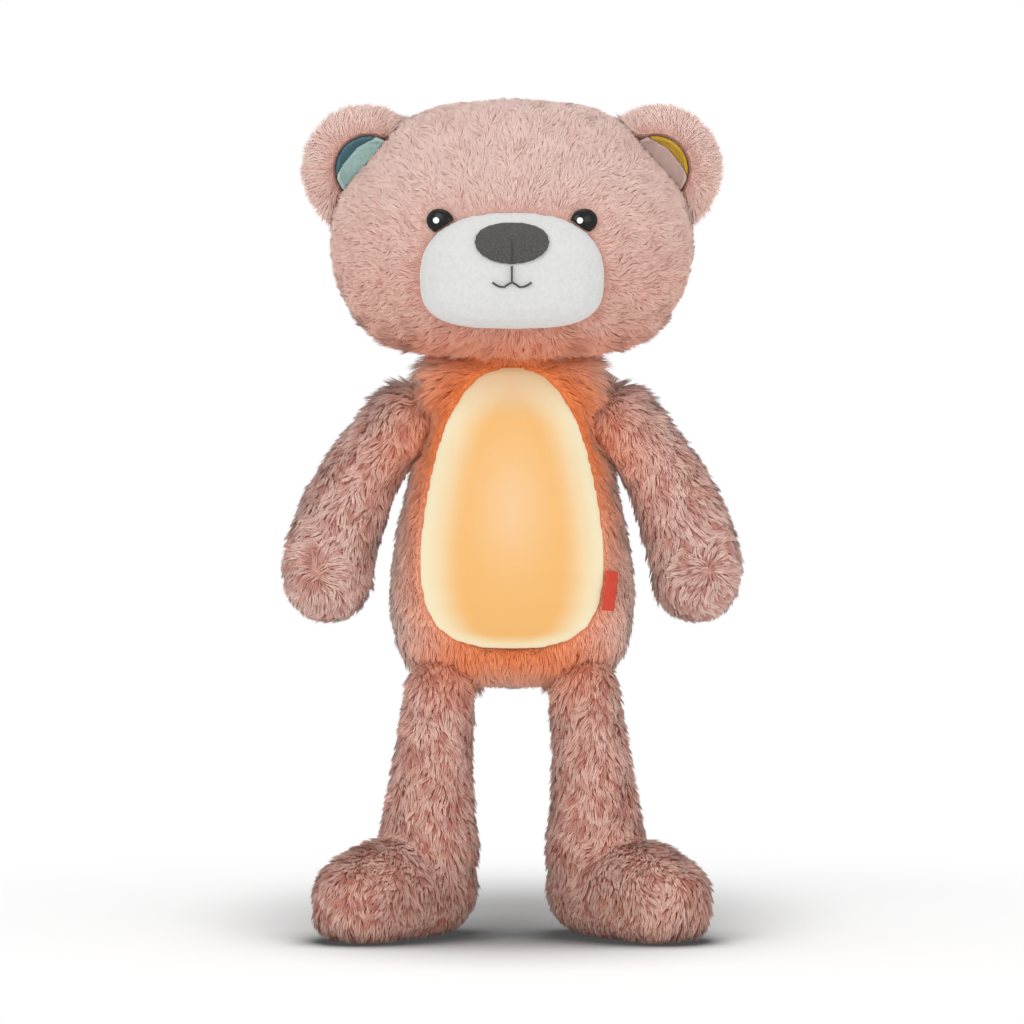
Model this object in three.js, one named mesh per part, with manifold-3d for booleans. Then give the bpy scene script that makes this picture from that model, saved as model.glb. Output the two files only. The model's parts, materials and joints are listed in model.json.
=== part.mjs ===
// A plush bear night light: stuffed head, body, arms and legs round a battery light and sound module.
// Millimetres, +Z up, the bear faces -Y and stands on its soles at z = 0. Left is the bear's own left, +X.

import * as THREE from 'three';
import { mergeVertices } from 'three/addons/utils/BufferGeometryUtils.js';
import Module from 'manifold-3d';

const wasm = await Module();
wasm.setup();

// Clearances and overruns

const seamGap = 0.3;
const overrun = 8;
const soleCut = 0.5;

// Stuffed body

const torso = { bottom: 100, top: 234, halfWidth: 48.4, front: 37.5, back: 36, middleY: 0, squareness: 2.2 };
const torsoProfileShares = [
  [0.0, 0.0, 0.0, 0.0],
  [0.015, 0.5, 0.27, 0.35],
  [0.05, 0.75, 0.43, 0.6],
  [0.1, 0.89, 0.56, 0.78],
  [0.164, 0.975, 0.7, 0.9],
  [0.246, 1.0, 0.83, 0.97],
  [0.351, 0.985, 0.94, 1.0],
  [0.485, 0.925, 1.0, 0.995],
  [0.623, 0.825, 0.96, 0.955],
  [0.791, 0.7, 0.85, 0.87],
  [0.88, 0.72, 0.765, 0.79],
  [0.948, 0.66, 0.68, 0.69],
  [0.983, 0.54, 0.55, 0.55],
  [1.0, 0.0, 0.0, 0.0],
];
const torsoRings = 15;
const profileReadings = 400;
const torsoSides = 28;

// Stuffed head with the hole in its underside where the neck is sewn in

const head = { bottom: 236, top: 336, halfWidth: 72.8, front: 51, back: 49, middleY: -3, squareness: 2.2 };
const headProfileShares = [
  [0.0, 0.0, 0.0, 0.0],
  [0.004, 0.48, 0.48, 0.48],
  [0.02, 0.62, 0.6, 0.6],
  [0.051, 0.725, 0.71, 0.71],
  [0.112, 0.84, 0.83, 0.83],
  [0.193, 0.925, 0.915, 0.915],
  [0.294, 0.98, 0.975, 0.975],
  [0.4, 1.0, 1.0, 1.0],
  [0.5, 0.99, 0.995, 0.995],
  [0.601, 0.95, 0.96, 0.96],
  [0.68, 0.87, 0.9, 0.9],
  [0.764, 0.765, 0.79, 0.79],
  [0.846, 0.665, 0.67, 0.67],
  [0.907, 0.595, 0.56, 0.56],
  [0.965, 0.43, 0.4, 0.4],
  [1.0, 0.0, 0.0, 0.0],
];
const headRings = 15;
const headSides = 28;

const neck = { halfWidth: 25, halfDepth: 22, recess: 4.6, hem: 1.5, sides: 20, squareness: 2 };

// Arms: a round root sewn into the shoulder, then a limb that swells towards the paw

const shoulder = { x: 42.5, y: 0, z: 206, radius: 14.4, swingRoom: 1.4 };
const arm = {
  elbowX: 57, elbowZ: 190.5, elbowRadius: 14.7,
  wristX: 67.4, wristZ: 169.5, wristRadius: 16.8,
  pawX: 73, pawZ: 151.5, pawRadius: 17.8,
  tipX: 73.4, tipZ: 144, tipRadius: 17.5,
};
const limbSides = 16;
const limbCapRings = 3;
const limbBodyRings = 6;

// Legs: a round root in the hip, a leg that widens to the ankle, and a foot turned outwards

const hip = { x: 28.5, y: -6, z: 101, radius: 13 };
const leg = {
  kneeX: 31.4, kneeY: -5, kneeZ: 73.5, kneeRadius: 14.4,
  shinX: 33.2, shinY: -3, shinZ: 50, shinRadius: 17,
  ankleX: 33.4, ankleY: -1, ankleZ: 33, ankleRadius: 19.2,
};
const legSwingForward = 85;
const legSwingBack = 35;
const foot = {
  heelX: 31.5, heelY: 1, heelOverhang: 18.5,
  length: 78, halfWidth: 19.4, height: 41, turn: 44,
};
const footProfileShares = [
  [0.0, 0.0, 0.0, 0.0],
  [0.015, 0.24, 0.32, 0.36],
  [0.06, 0.5, 0.56, 0.62],
  [0.14, 0.76, 0.8, 0.86],
  [0.26, 0.92, 0.97, 0.98],
  [0.45, 0.98, 1.0, 1.0],
  [0.62, 1.0, 0.94, 1.0],
  [0.76, 0.98, 0.8, 1.0],
  [0.88, 0.84, 0.62, 0.9],
  [0.955, 0.6, 0.46, 0.66],
  [0.99, 0.3, 0.34, 0.4],
  [1.0, 0.0, 0.0, 0.0],
];
const footRings = 10;
const footSides = 16;
const footSoleShare = 0.4376;
const footSquareness = { top: 2.1, heel: 2.8, toe: 3.8 };

// Ears: a thick rim round a lined hollow, sewn of a main lining and an accent crescent above and outside it

const ear = { inset: 14.3, y: 2, riseShare: 0.711, halfWidth: 25.2, halfHeight: 25.4, halfDepth: 9.5 };
const earHollow = { inward: 1.3, rise: 0.3, halfWidth: 14, halfHeight: 14, halfDepth: 9, frontY: -6.4 };
const earLining = { thickness: 1, hem: 1.8, inward: 14.6, drop: 14.6, radius: 30 };
const earSides = 18;
const earRings = 10;

// Face: the muzzle keeps its place on the head's height, and what lies round it keeps its place on the muzzle

const muzzle = {
  riseShare: 0.326, halfWidth: 36.8, up: 26, down: 21.2,
  depth: 15, seatDepth: 9, seatY: -47.5, rings: 5, sides: 28,
};
const muzzleSquareness = { up: 2.35, down: 3.2 };
const muzzleDome = { power: 2.6, fall: 0.62 };
const nose = {
  rise: 14.4, halfWidth: 15, up: 7.7, down: 8.7,
  thickness: 1.3, lift: 0.25, rings: 3, sides: 20,
};
const noseSquareness = { up: 2.3, down: 1.95 };
const mouth = {
  top: 5.2, lip: -1.3, corner: -1.4, dip: -3.3, halfWidth: 7.8,
  threadRadius: 0.45, lift: 0.5,
};
const mouthCurveShares = { cheek: 0.75, dip: 0.42 };
const mouthSteps = 10;
const threadSides = 5;
const eye = {
  x: 28.6, rise: 21.6, halfWidth: 5.8, halfHeight: 5.1,
  bulge: 2.4, seat: 0.3, tilt: 14, sides: 16, rings: 4,
};
const eyeGlint = { x: 1.6, z: 0.6, radius: 1.25, thickness: 0.5, sides: 12 };

// Lit belly panel and the bare woven tag in its seam

const belly = { bottom: 116.6, top: 230, halfWidth: 37.1, thickness: 2.8, sink: 0.5 };
const bellyOutlineShares = [
  [0.0, 0.0],
  [0.42, 0.01],
  [0.74, 0.055],
  [0.92, 0.14],
  [0.995, 0.26],
  [0.985, 0.38],
  [0.93, 0.52],
  [0.83, 0.68],
  [0.67, 0.83],
  [0.43, 0.945],
  [0.22, 0.986],
  [0.0, 1.0],
];
const bellyPoints = 28;
const tag = { outside: 1.2, rise: 23.6, width: 6.4, height: 16, thickness: 0.8, lean: 8, lift: 0.5 };

// Rear opening, its padded flap and the hook and loop strips

const flap = { bottom: 108, top: 209, halfWidth: 31.5, hemY: 20.3 };
const flapOutlineShares = [
  [0.72, 0.0],
  [0.86, 0.08],
  [0.96, 0.24],
  [1.0, 0.42],
  [1.0, 0.6],
  [0.95, 0.76],
  [0.82, 0.9],
  [0.58, 1.0],
];
const flapPoints = 14;
const strip = { halfWidth: 15, height: 5.2, thickness: 1, fromBottom: 1.5 };

// Light and sound module: housing with a battery well, board, reflector and diffuser

const module = { z: 163, halfWidth: 29, halfHeight: 44, rearY: 19, frontY: -9, wall: 1.8, squareness: 3 };
const moduleSides = 24;
const liner = { thickness: 0.8, frontY: -7 };
const cell = { radius: 5.25, length: 44.5, nubRadius: 2.7, nubLength: 1.1, pitch: 11, sides: 14 };
const cellCount = 3;
const spring = { length: 3.6, radius: 3, wireRadius: 0.4, turns: 3, stepsPerTurn: 8, sides: 4 };
const contactPlate = { thickness: 0.6, depth: 8 };
const well = { wall: 1.2, bottom: 127, side: 0.6 };
const door = { thickness: 1.6, tabWidth: 9, tabLength: 6.2 };
const board = { rearY: 2.8, thickness: 1.6, margin: 0.7 };
const led = { x: 10, z: 18, radius: 2.4, height: 1.6, domeRadius: 1.5, sides: 8 };
const ledDomeShares = { width: 0.7, rise: 0.75 };
const reflector = { floorY: -2, thickness: 1.2, floorHalfWidth: 22, floorHalfHeight: 36, holeRadius: 3 };
const diffuser = { wall: 1.6, frontY: -33.4, rings: 4, power: 2, fall: 0.6, sides: 24 };
const boss = { radius: 2.7, upperX: 17, upperZ: 32.5, lowerX: 10, lowerZ: -38.8, reach: 0.3, sides: 8 };
const screw = {
  shankRadius: 1, headRadius: 2, headHeight: 0.9, crownShare: 0.8,
  length: 8, clearance: 0.3, sides: 8,
};
const speaker = { z: 191, radius: 10.5, depth: 6, rim: 1.2, wall: 0.8, throatRadius: 5, sides: 16 };
const speakerMagnet = { radius: 6, thickness: 4 };
const speakerCone = { radius: 8.2, capRadius: 3, thickness: 0.5, drop: 3.2 };
const grille = { slots: 3, pitch: 4.2, halfLength: 5.5, halfHeight: 1 };
const controls = { x: 22.6, holeGap: 0.3, proud: 0.8, bodySize: 4, bodyHeight: 3.4 };
const pushButton = {
  radius: 2.5, flangeRadius: 3.2, flange: 1, stemRadius: 1.2,
  travel: 0.9, upperZ: 168, lowerZ: 156,
};
const slideKnob = { width: 3.2, length: 5, flangeLength: 8.6, flangeWidth: 5.4, travel: 2, z: 161 };
const buttonSides = 10;

// Shape helpers

function solidFrom(geometry) {
  const bare = geometry.clone();
  bare.deleteAttribute('normal');
  bare.deleteAttribute('uv');
  const merged = mergeVertices(bare, 1e-4);
  const vertProperties = new Float32Array(merged.attributes.position.array);
  const triVerts = new Uint32Array(merged.index.array);
  return new wasm.Manifold(new wasm.Mesh({ numProp: 3, vertProperties, triVerts }));
}

function geometryFrom(solid) {
  const mesh = solid.getMesh();
  const geometry = new THREE.BufferGeometry();
  geometry.setAttribute('position', new THREE.BufferAttribute(mesh.vertProperties, 3));
  geometry.setIndex(new THREE.BufferAttribute(mesh.triVerts, 1));
  return geometry;
}

function signedVolume(points, faces) {
  const cross = new THREE.Vector3();
  return faces.reduce((sum, [a, b, c]) => sum + points[a].dot(cross.crossVectors(points[b], points[c])), 0);
}

// Rings with the same number of points, joined in order and closed by a fan at each end
function loft(rings) {
  const sides = rings[0].length;
  const points = rings.flat();
  const faces = [];
  for (let ring = 0; ring + 1 < rings.length; ring += 1) {
    for (let side = 0; side < sides; side += 1) {
      const next = (side + 1) % sides;
      const low = ring * sides;
      const high = low + sides;
      faces.push([low + side, low + next, high + next], [low + side, high + next, high + side]);
    }
  }
  for (const ring of [0, rings.length - 1]) {
    const first = ring * sides;
    const centre = new THREE.Vector3();
    rings[ring].forEach((point) => centre.addScaledVector(point, 1 / sides));
    points.push(centre);
    for (let side = 0; side < sides; side += 1) {
      const next = (side + 1) % sides;
      const edge = ring === 0 ? [first + next, first + side] : [first + side, first + next];
      faces.push([...edge, points.length - 1]);
    }
  }
  const outward = signedVolume(points, faces) > 0;
  const index = faces.flatMap(([a, b, c]) => (outward ? [a, b, c] : [a, c, b]));
  const geometry = new THREE.BufferGeometry();
  const places = points.flatMap((point) => point.toArray());
  geometry.setAttribute('position', new THREE.Float32BufferAttribute(places, 3));
  geometry.setIndex(index);
  return geometry;
}

// A point of an oval that is rounder or squarer than an ellipse, as shares of its two half sizes
function ovalShare(angle, squareness) {
  const bend = (value) => Math.sign(value) * Math.abs(value) ** (2 / squareness);
  return [bend(Math.cos(angle)), bend(Math.sin(angle))];
}

// A smooth curve through rows of shares, read at even steps
function smoothRows(rows, steps) {
  const columns = rows[0].length;
  const curves = [];
  for (let column = 0; column < columns; column += 1) {
    curves.push(new THREE.SplineCurve(rows.map((row, place) => new THREE.Vector2(place, row[column]))));
  }
  return Array.from({ length: steps + 1 }, (_, step) => {
    return curves.map((curve) => Math.max(curve.getPoint(step / steps).y, 0));
  });
}

// A stuffed form of oval rings up its height, made smaller all round by an inset
function stuffedForm(form, shares, rings, sides, inset = 0) {
  const low = form.bottom + inset;
  const height = form.top - inset - low;
  const rows = smoothRows(shares, rings);
  const outline = rows.slice(1, -1).map(([rise, width, front, back]) => {
    return Array.from({ length: sides }, (_, side) => {
      const [across, along] = ovalShare((side / sides) * Math.PI * 2, form.squareness);
      const depth = along < 0 ? front * (form.front - inset) : back * (form.back - inset);
      const x = across * width * (form.halfWidth - inset);
      return new THREE.Vector3(x, form.middleY + along * depth, low + rise * height);
    });
  });
  const geometry = loft(outline);
  const { position } = geometry.attributes;
  const bottomPole = position.count - 2;
  position.setZ(bottomPole, low);
  position.setZ(bottomPole + 1, low + height);
  return solidFrom(geometry);
}

// The body's form, made smaller all round by an inset and moved back by a depth
function torsoForm(inset, depth = 0) {
  const form = { ...torso, middleY: torso.middleY + depth };
  return stuffedForm(form, torsoProfileShares, torsoRings, torsoSides, inset);
}

const headForm = (inset) => stuffedForm(head, headProfileShares, headRings, headSides, inset);

// A closed outline in x and z, run along y from one depth to another
function prismAlongY(points, nearY, farY) {
  const shape = new THREE.Shape(points.map(([x, z]) => new THREE.Vector2(x, z)));
  const geometry = new THREE.ExtrudeGeometry(shape, { depth: farY - nearY, bevelEnabled: false });
  geometry.rotateX(Math.PI / 2);
  geometry.translate(0, farY, 0);
  return solidFrom(geometry);
}

// Half an outline on the +X side, mirrored to the other side
function mirroredOutline(halfPoints) {
  const other = halfPoints.filter(([x]) => x > 0).map(([x, z]) => [-x, z]).reverse();
  return [...halfPoints, ...other];
}

function ovalOutline(halfWidth, halfHeight, middleZ, squareness, sides) {
  return Array.from({ length: sides }, (_, side) => {
    const [across, up] = ovalShare((side / sides) * Math.PI * 2, squareness);
    return [across * halfWidth, middleZ + up * halfHeight];
  });
}

function boxBetween(low, high) {
  const geometry = new THREE.BoxGeometry(high[0] - low[0], high[1] - low[1], high[2] - low[2]);
  geometry.translate((high[0] + low[0]) / 2, (high[1] + low[1]) / 2, (high[2] + low[2]) / 2);
  return solidFrom(geometry);
}

// A turned piece whose axis runs along y; its profile is a list of [radius, y]
function turnedAlongY(profile, x, z, sides) {
  const points = profile.map(([radius, y]) => new THREE.Vector2(radius, y));
  const geometry = new THREE.LatheGeometry(points, sides);
  geometry.translate(x, 0, z);
  return solidFrom(geometry);
}

function rodAlongY(radius, nearY, farY, x, z, sides) {
  return turnedAlongY([[0, nearY], [radius, nearY], [radius, farY], [0, farY]], x, z, sides);
}

function ellipsoid(halfX, halfY, halfZ, x, y, z, sides, rings) {
  const geometry = new THREE.SphereGeometry(1, sides, rings);
  geometry.rotateX(Math.PI / 2);
  geometry.scale(halfX, halfY, halfZ);
  geometry.translate(x, y, z);
  return solidFrom(geometry);
}

function joined(first, ...others) {
  return others.reduce((whole, piece) => whole.add(piece), first);
}

// A round limb along a smooth path, with a round cap at each end
function limbForm(stations, sides) {
  const path = new THREE.CatmullRomCurve3(stations.map(({ at }) => at));
  const radii = stations.map(({ radius }, place) => new THREE.Vector2(place, radius));
  const swell = new THREE.SplineCurve(radii);
  const across = new THREE.Vector3(0, 1, 0);
  const rings = [];
  const addRing = (share, shift, scale) => {
    const centre = path.getPoint(share);
    const along = path.getTangent(share).normalize();
    const sideways = new THREE.Vector3().crossVectors(along, across).normalize();
    const deep = new THREE.Vector3().crossVectors(sideways, along).normalize();
    const radius = swell.getPoint(share).y;
    rings.push(Array.from({ length: sides }, (_, side) => {
      const angle = (side / sides) * Math.PI * 2;
      return centre.clone()
        .addScaledVector(along, shift * radius)
        .addScaledVector(sideways, Math.cos(angle) * radius * scale)
        .addScaledVector(deep, Math.sin(angle) * radius * scale);
    }));
  };
  const capAngle = (step) => ((step + 0.5) / (limbCapRings + 0.5)) * (Math.PI / 2);
  for (let step = 0; step < limbCapRings; step += 1) {
    addRing(0, -Math.cos(capAngle(step)), Math.sin(capAngle(step)));
  }
  for (let step = 0; step <= limbBodyRings; step += 1) {
    addRing(step / limbBodyRings, 0, 1);
  }
  for (let step = limbCapRings - 1; step >= 0; step -= 1) {
    addRing(1, Math.cos(capAngle(step)), Math.sin(capAngle(step)));
  }
  return solidFrom(loft(rings));
}

// Places worked out from what carries each piece

const onHead = (share) => head.bottom + share * (head.top - head.bottom);
const earX = head.halfWidth - ear.inset;
const earZ = onHead(ear.riseShare);
const muzzleZ = onHead(muzzle.riseShare);
const eyeZ = muzzleZ + eye.rise;
const noseZ = muzzleZ + nose.rise;
const tagX = belly.halfWidth + tag.outside;
const tagZ = belly.bottom + tag.rise;

// Body of the toy

const moduleOutline = (grow) => ovalOutline(
  module.halfWidth + grow, module.halfHeight + grow, module.z, module.squareness, moduleSides,
);

function bellyOutline(grow) {
  const height = belly.top - belly.bottom + 2 * grow;
  const half = smoothRows(bellyOutlineShares, bellyPoints / 2).map(([width, rise]) => {
    return [width * (belly.halfWidth + grow), belly.bottom - grow + Math.min(rise, 1) * height];
  });
  const onAxis = (place) => place === 0 || place === half.length - 1;
  return mirroredOutline(half.map(([x, z], place) => [onAxis(place) ? 0 : x, z]));
}

function flapOutline(grow) {
  const height = flap.top - flap.bottom + 2 * grow;
  const half = smoothRows(flapOutlineShares, flapPoints).map(([width, rise]) => {
    return [width * flap.halfWidth + grow, flap.bottom - grow + Math.min(rise, 1) * height];
  });
  return mirroredOutline(half);
}

const frontOf = torso.middleY - torso.front - overrun;
const behind = torso.middleY + torso.back + overrun;
const stripBottom = flap.bottom + strip.fromBottom;
const hookY = flap.hemY - seamGap - strip.thickness;
const loopY = hookY - seamGap - strip.thickness;
const ledgeY = loopY - seamGap;

// The radius at which a faceted ball's flat faces still clear a round root
const facetClear = Math.cos(Math.PI / limbSides) ** 2;

function ballRoom(radius, x, y, z) {
  const reach = (radius + seamGap) / facetClear;
  return ellipsoid(reach, reach, reach, x, y, z, limbSides, limbSides / 2);
}

function hipRoom(side) {
  const radius = (hip.radius + seamGap) / facetClear;
  const reach = torso.front + overrun;
  const ball = ballRoom(hip.radius, side * hip.x, hip.y, hip.z);
  const rods = [legSwingForward, 0, -legSwingBack].map((swing) => {
    const geometry = new THREE.CylinderGeometry(radius, radius, reach, limbSides);
    geometry.translate(0, -reach / 2, 0);
    geometry.rotateX(Math.PI / 2 - THREE.MathUtils.degToRad(swing));
    geometry.translate(side * hip.x, hip.y, hip.z);
    return solidFrom(geometry);
  });
  const spread = [legSwingForward, legSwingForward / 2, 0, -legSwingBack].map((swing) => {
    const angle = THREE.MathUtils.degToRad(swing);
    return [-Math.sin(angle) * reach, -Math.cos(angle) * reach];
  });
  const fan = new THREE.Shape([[0, 0], ...spread].map(([y, z]) => new THREE.Vector2(y, z)));
  const wedge = new THREE.ExtrudeGeometry(fan, { depth: 2 * radius, bevelEnabled: false });
  wedge.applyMatrix4(new THREE.Matrix4().makeBasis(
    new THREE.Vector3(0, 1, 0), new THREE.Vector3(0, 0, 1), new THREE.Vector3(1, 0, 0),
  ));
  wedge.translate(side * hip.x - radius, hip.y, hip.z);
  return joined(ball, ...rods, solidFrom(wedge));
}

function buildTorso() {
  const panelSeat = prismAlongY(bellyOutline(seamGap), frontOf, torso.middleY)
    .subtract(torsoForm(belly.sink, belly.thickness + seamGap));
  const pocket = prismAlongY(moduleOutline(2 * seamGap + liner.thickness), frontOf, behind);
  const rearOpening = prismAlongY(flapOutline(seamGap), ledgeY, behind);
  const limbRooms = [1, -1].flatMap((side) => {
    const shoulderRadius = shoulder.radius + shoulder.swingRoom;
    return [hipRoom(side), ballRoom(shoulderRadius, side * shoulder.x, shoulder.y, shoulder.z)];
  });
  const cuts = [panelSeat, pocket, rearOpening, ...limbRooms];
  return cuts.reduce((form, cut) => form.subtract(cut), torsoForm(0));
}

function buildBellyPanel() {
  const outer = torsoForm(belly.sink);
  const inner = torsoForm(belly.sink, belly.thickness);
  return outer.subtract(inner).intersect(prismAlongY(bellyOutline(0), frontOf, torso.middleY));
}

function buildBackFlap() {
  const hem = prismAlongY(flapOutline(0), flap.hemY, behind);
  return torsoForm(0).intersect(hem);
}

function buildStrip(nearY) {
  return boxBetween(
    [-strip.halfWidth, nearY, stripBottom],
    [strip.halfWidth, nearY + strip.thickness, stripBottom + strip.height],
  );
}

// A short label that lies on the body beside the panel's seam
function buildTag() {
  const faceAt = (place) => {
    const span = (tagZ - torso.bottom) / (torso.top - torso.bottom);
    const row = smoothRows(torsoProfileShares, profileReadings).find(([rise]) => rise >= span);
    const share = Math.min(place / (row[1] * torso.halfWidth), 1);
    const depth = (1 - share ** torso.squareness) ** (1 / torso.squareness);
    return torso.middleY - row[2] * torso.front * depth;
  };
  const slope = Math.atan2(faceAt(tagX + tag.width / 4) - faceAt(tagX), tag.width / 4);
  const geometry = new THREE.BoxGeometry(tag.width, tag.thickness, tag.height);
  geometry.rotateY(THREE.MathUtils.degToRad(tag.lean));
  geometry.rotateZ(slope);
  const proud = tag.lift + tag.thickness;
  geometry.translate(tagX + Math.sin(slope) * proud, faceAt(tagX) - Math.cos(slope) * proud, tagZ);
  return solidFrom(geometry);
}

function buildNeck() {
  const column = ovalOutline(neck.halfWidth, neck.halfDepth, 0, neck.squareness, neck.sides);
  const rings = [torso.top - overrun, head.bottom + overrun].map((z) => {
    return column.map(([x, y]) => new THREE.Vector3(x, y, z));
  });
  return solidFrom(loft(rings)).subtract(torsoForm(-seamGap)).subtract(headWithNeckHole(seamGap));
}

function headWithNeckHole(grow) {
  const wide = neck.halfWidth + neck.hem - grow;
  const deep = neck.halfDepth + neck.hem - grow;
  const outline = ovalOutline(wide, deep, 0, neck.squareness, neck.sides);
  const rings = [head.bottom - overrun, head.bottom + neck.recess - grow].map((z) => {
    return outline.map(([x, y]) => new THREE.Vector3(x, y, z));
  });
  return headForm(-grow).subtract(solidFrom(loft(rings)));
}

function buildArm(side) {
  const stations = [
    { at: new THREE.Vector3(side * shoulder.x, shoulder.y, shoulder.z), radius: shoulder.radius },
    { at: new THREE.Vector3(side * arm.elbowX, shoulder.y, arm.elbowZ), radius: arm.elbowRadius },
    { at: new THREE.Vector3(side * arm.wristX, shoulder.y, arm.wristZ), radius: arm.wristRadius },
    { at: new THREE.Vector3(side * arm.pawX, shoulder.y, arm.pawZ), radius: arm.pawRadius },
    { at: new THREE.Vector3(side * arm.tipX, shoulder.y, arm.tipZ), radius: arm.tipRadius },
  ];
  return limbForm(stations, limbSides);
}

function footForm() {
  const rows = smoothRows(footProfileShares, footRings).slice(1, -1);
  const middle = foot.height * footSoleShare;
  const rings = rows.map(([along, width, top, sole]) => {
    return Array.from({ length: footSides }, (_, side) => {
      const angle = (side / footSides) * Math.PI * 2;
      const low = Math.sin(angle) < 0;
      const soleSquareness = THREE.MathUtils.lerp(footSquareness.heel, footSquareness.toe, along);
      const [across, up] = ovalShare(angle, low ? soleSquareness : footSquareness.top);
      const rise = low ? (middle + soleCut) * sole : (foot.height - middle) * top;
      const y = foot.heelOverhang - along * foot.length;
      return new THREE.Vector3(across * width * foot.halfWidth, y, middle + up * rise);
    });
  });
  return loft(rings);
}

function buildLeg(side) {
  const stations = [
    { at: new THREE.Vector3(side * hip.x, hip.y, hip.z), radius: hip.radius },
    { at: new THREE.Vector3(side * leg.kneeX, leg.kneeY, leg.kneeZ), radius: leg.kneeRadius },
    { at: new THREE.Vector3(side * leg.shinX, leg.shinY, leg.shinZ), radius: leg.shinRadius },
    { at: new THREE.Vector3(side * leg.ankleX, leg.ankleY, leg.ankleZ), radius: leg.ankleRadius },
  ];
  const sole = footForm();
  sole.rotateZ(side * THREE.MathUtils.degToRad(foot.turn));
  sole.translate(side * foot.heelX, foot.heelY, 0);
  const floor = boxBetween(
    [-torso.halfWidth * 3, -foot.length * 2, -foot.height],
    [torso.halfWidth * 3, foot.length * 2, 0],
  );
  return limbForm(stations, limbSides).add(solidFrom(sole)).subtract(floor);
}

// Ears

function earHollowForm(side, inset) {
  const x = side * (earX - earHollow.inward);
  return ellipsoid(
    earHollow.halfWidth - inset, earHollow.halfDepth - inset, earHollow.halfHeight - inset,
    x, ear.y + earHollow.frontY, earZ + earHollow.rise, earSides, earRings,
  );
}

function earRimForm(side) {
  return ellipsoid(
    ear.halfWidth, ear.halfDepth, ear.halfHeight,
    side * earX, ear.y, earZ, earSides, earRings,
  );
}

function buildEar(side) {
  return earRimForm(side).subtract(earHollowForm(side, 0)).subtract(headForm(-seamGap));
}

function earLiningRod(side, grow) {
  const x = side * (earX - earHollow.inward - earLining.inward);
  const z = earZ + earHollow.rise - earLining.drop;
  return rodAlongY(earLining.radius + grow, frontOf, behind, x, z, earSides);
}

function earLiningShell(side) {
  const front = boxBetween(
    [-head.halfWidth * 2, frontOf, torso.bottom],
    [head.halfWidth * 2, ear.y + earHollow.frontY + earLining.hem, head.top * 2],
  );
  return earHollowForm(side, seamGap)
    .subtract(earHollowForm(side, seamGap + earLining.thickness))
    .subtract(front)
    .subtract(headForm(-seamGap));
}

function buildEarLining(side) {
  return earLiningShell(side).intersect(earLiningRod(side, 0));
}

function buildEarAccent(side) {
  return earLiningShell(side).subtract(earLiningRod(side, seamGap));
}

// Face

function muzzleOutline(angle) {
  const squareness = Math.sin(angle) < 0 ? muzzleSquareness.down : muzzleSquareness.up;
  const [across, up] = ovalShare(angle, squareness);
  return [across * muzzle.halfWidth, up * (up < 0 ? muzzle.down : muzzle.up)];
}

const muzzleFallAt = (share) => (1 - share ** muzzleDome.power) ** muzzleDome.fall;

function muzzleSurfaceY(x, z) {
  const rise = z - muzzleZ;
  const squareness = rise < 0 ? muzzleSquareness.down : muzzleSquareness.up;
  const width = Math.abs(x / muzzle.halfWidth) ** squareness;
  const height = Math.abs(rise / (rise < 0 ? muzzle.down : muzzle.up)) ** squareness;
  const share = Math.min((width + height) ** (1 / squareness), 1);
  return muzzle.seatY - muzzle.seatDepth / 2 - muzzle.depth * muzzleFallAt(share);
}

function buildMuzzle() {
  const rings = [];
  const outlineAt = (share, y) => Array.from({ length: muzzle.sides }, (_, side) => {
    const [x, z] = muzzleOutline((side / muzzle.sides) * Math.PI * 2);
    return new THREE.Vector3(x * share, y, muzzleZ + z * share);
  });
  const rimY = muzzle.seatY - muzzle.seatDepth / 2;
  rings.push(outlineAt(1, rimY + muzzle.seatDepth + muzzle.depth));
  for (let ring = 0; ring < muzzle.rings; ring += 1) {
    const share = Math.cos((ring / muzzle.rings) * (Math.PI / 2));
    rings.push(outlineAt(share, rimY - muzzle.depth * muzzleFallAt(share)));
  }
  return solidFrom(loft(rings)).subtract(headForm(-seamGap));
}

// A patch that follows the muzzle's dome, from an outline given as a function of the angle
function muzzlePatch(outline, sides, rings, lift, thickness) {
  const layer = (share, out) => Array.from({ length: sides }, (_, side) => {
    const [x, z] = outline((side / sides) * Math.PI * 2, share);
    return new THREE.Vector3(x, muzzleSurfaceY(x, z) - out, z);
  });
  const shares = Array.from({ length: rings }, (_, ring) => (ring + 1) / rings);
  const back = shares.map((share) => layer(share, lift));
  const front = shares.map((share) => layer(share, lift + thickness)).reverse();
  return solidFrom(loft([...back, ...front]));
}

function buildNose() {
  const outline = (angle, share) => {
    const [across, up] = ovalShare(angle, Math.sin(angle) < 0 ? noseSquareness.down : noseSquareness.up);
    return [across * nose.halfWidth * share, noseZ + up * (up < 0 ? nose.down : nose.up) * share];
  };
  return muzzlePatch(outline, nose.sides, nose.rings, nose.lift, nose.thickness);
}

// A thread laid along points of the muzzle's face
function threadAlong(places) {
  const proud = mouth.lift + mouth.threadRadius;
  const points = places.map(([x, z]) => new THREE.Vector3(x, muzzleSurfaceY(x, z) - proud, z));
  const circle = new THREE.Shape(Array.from({ length: threadSides }, (_, side) => {
    const angle = (side / threadSides) * Math.PI * 2;
    return new THREE.Vector2(Math.cos(angle), Math.sin(angle)).multiplyScalar(mouth.threadRadius);
  }));
  const extrudePath = new THREE.CatmullRomCurve3(points);
  const options = { steps: mouthSteps, extrudePath, bevelEnabled: false };
  return solidFrom(new THREE.ExtrudeGeometry(circle, options));
}

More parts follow.
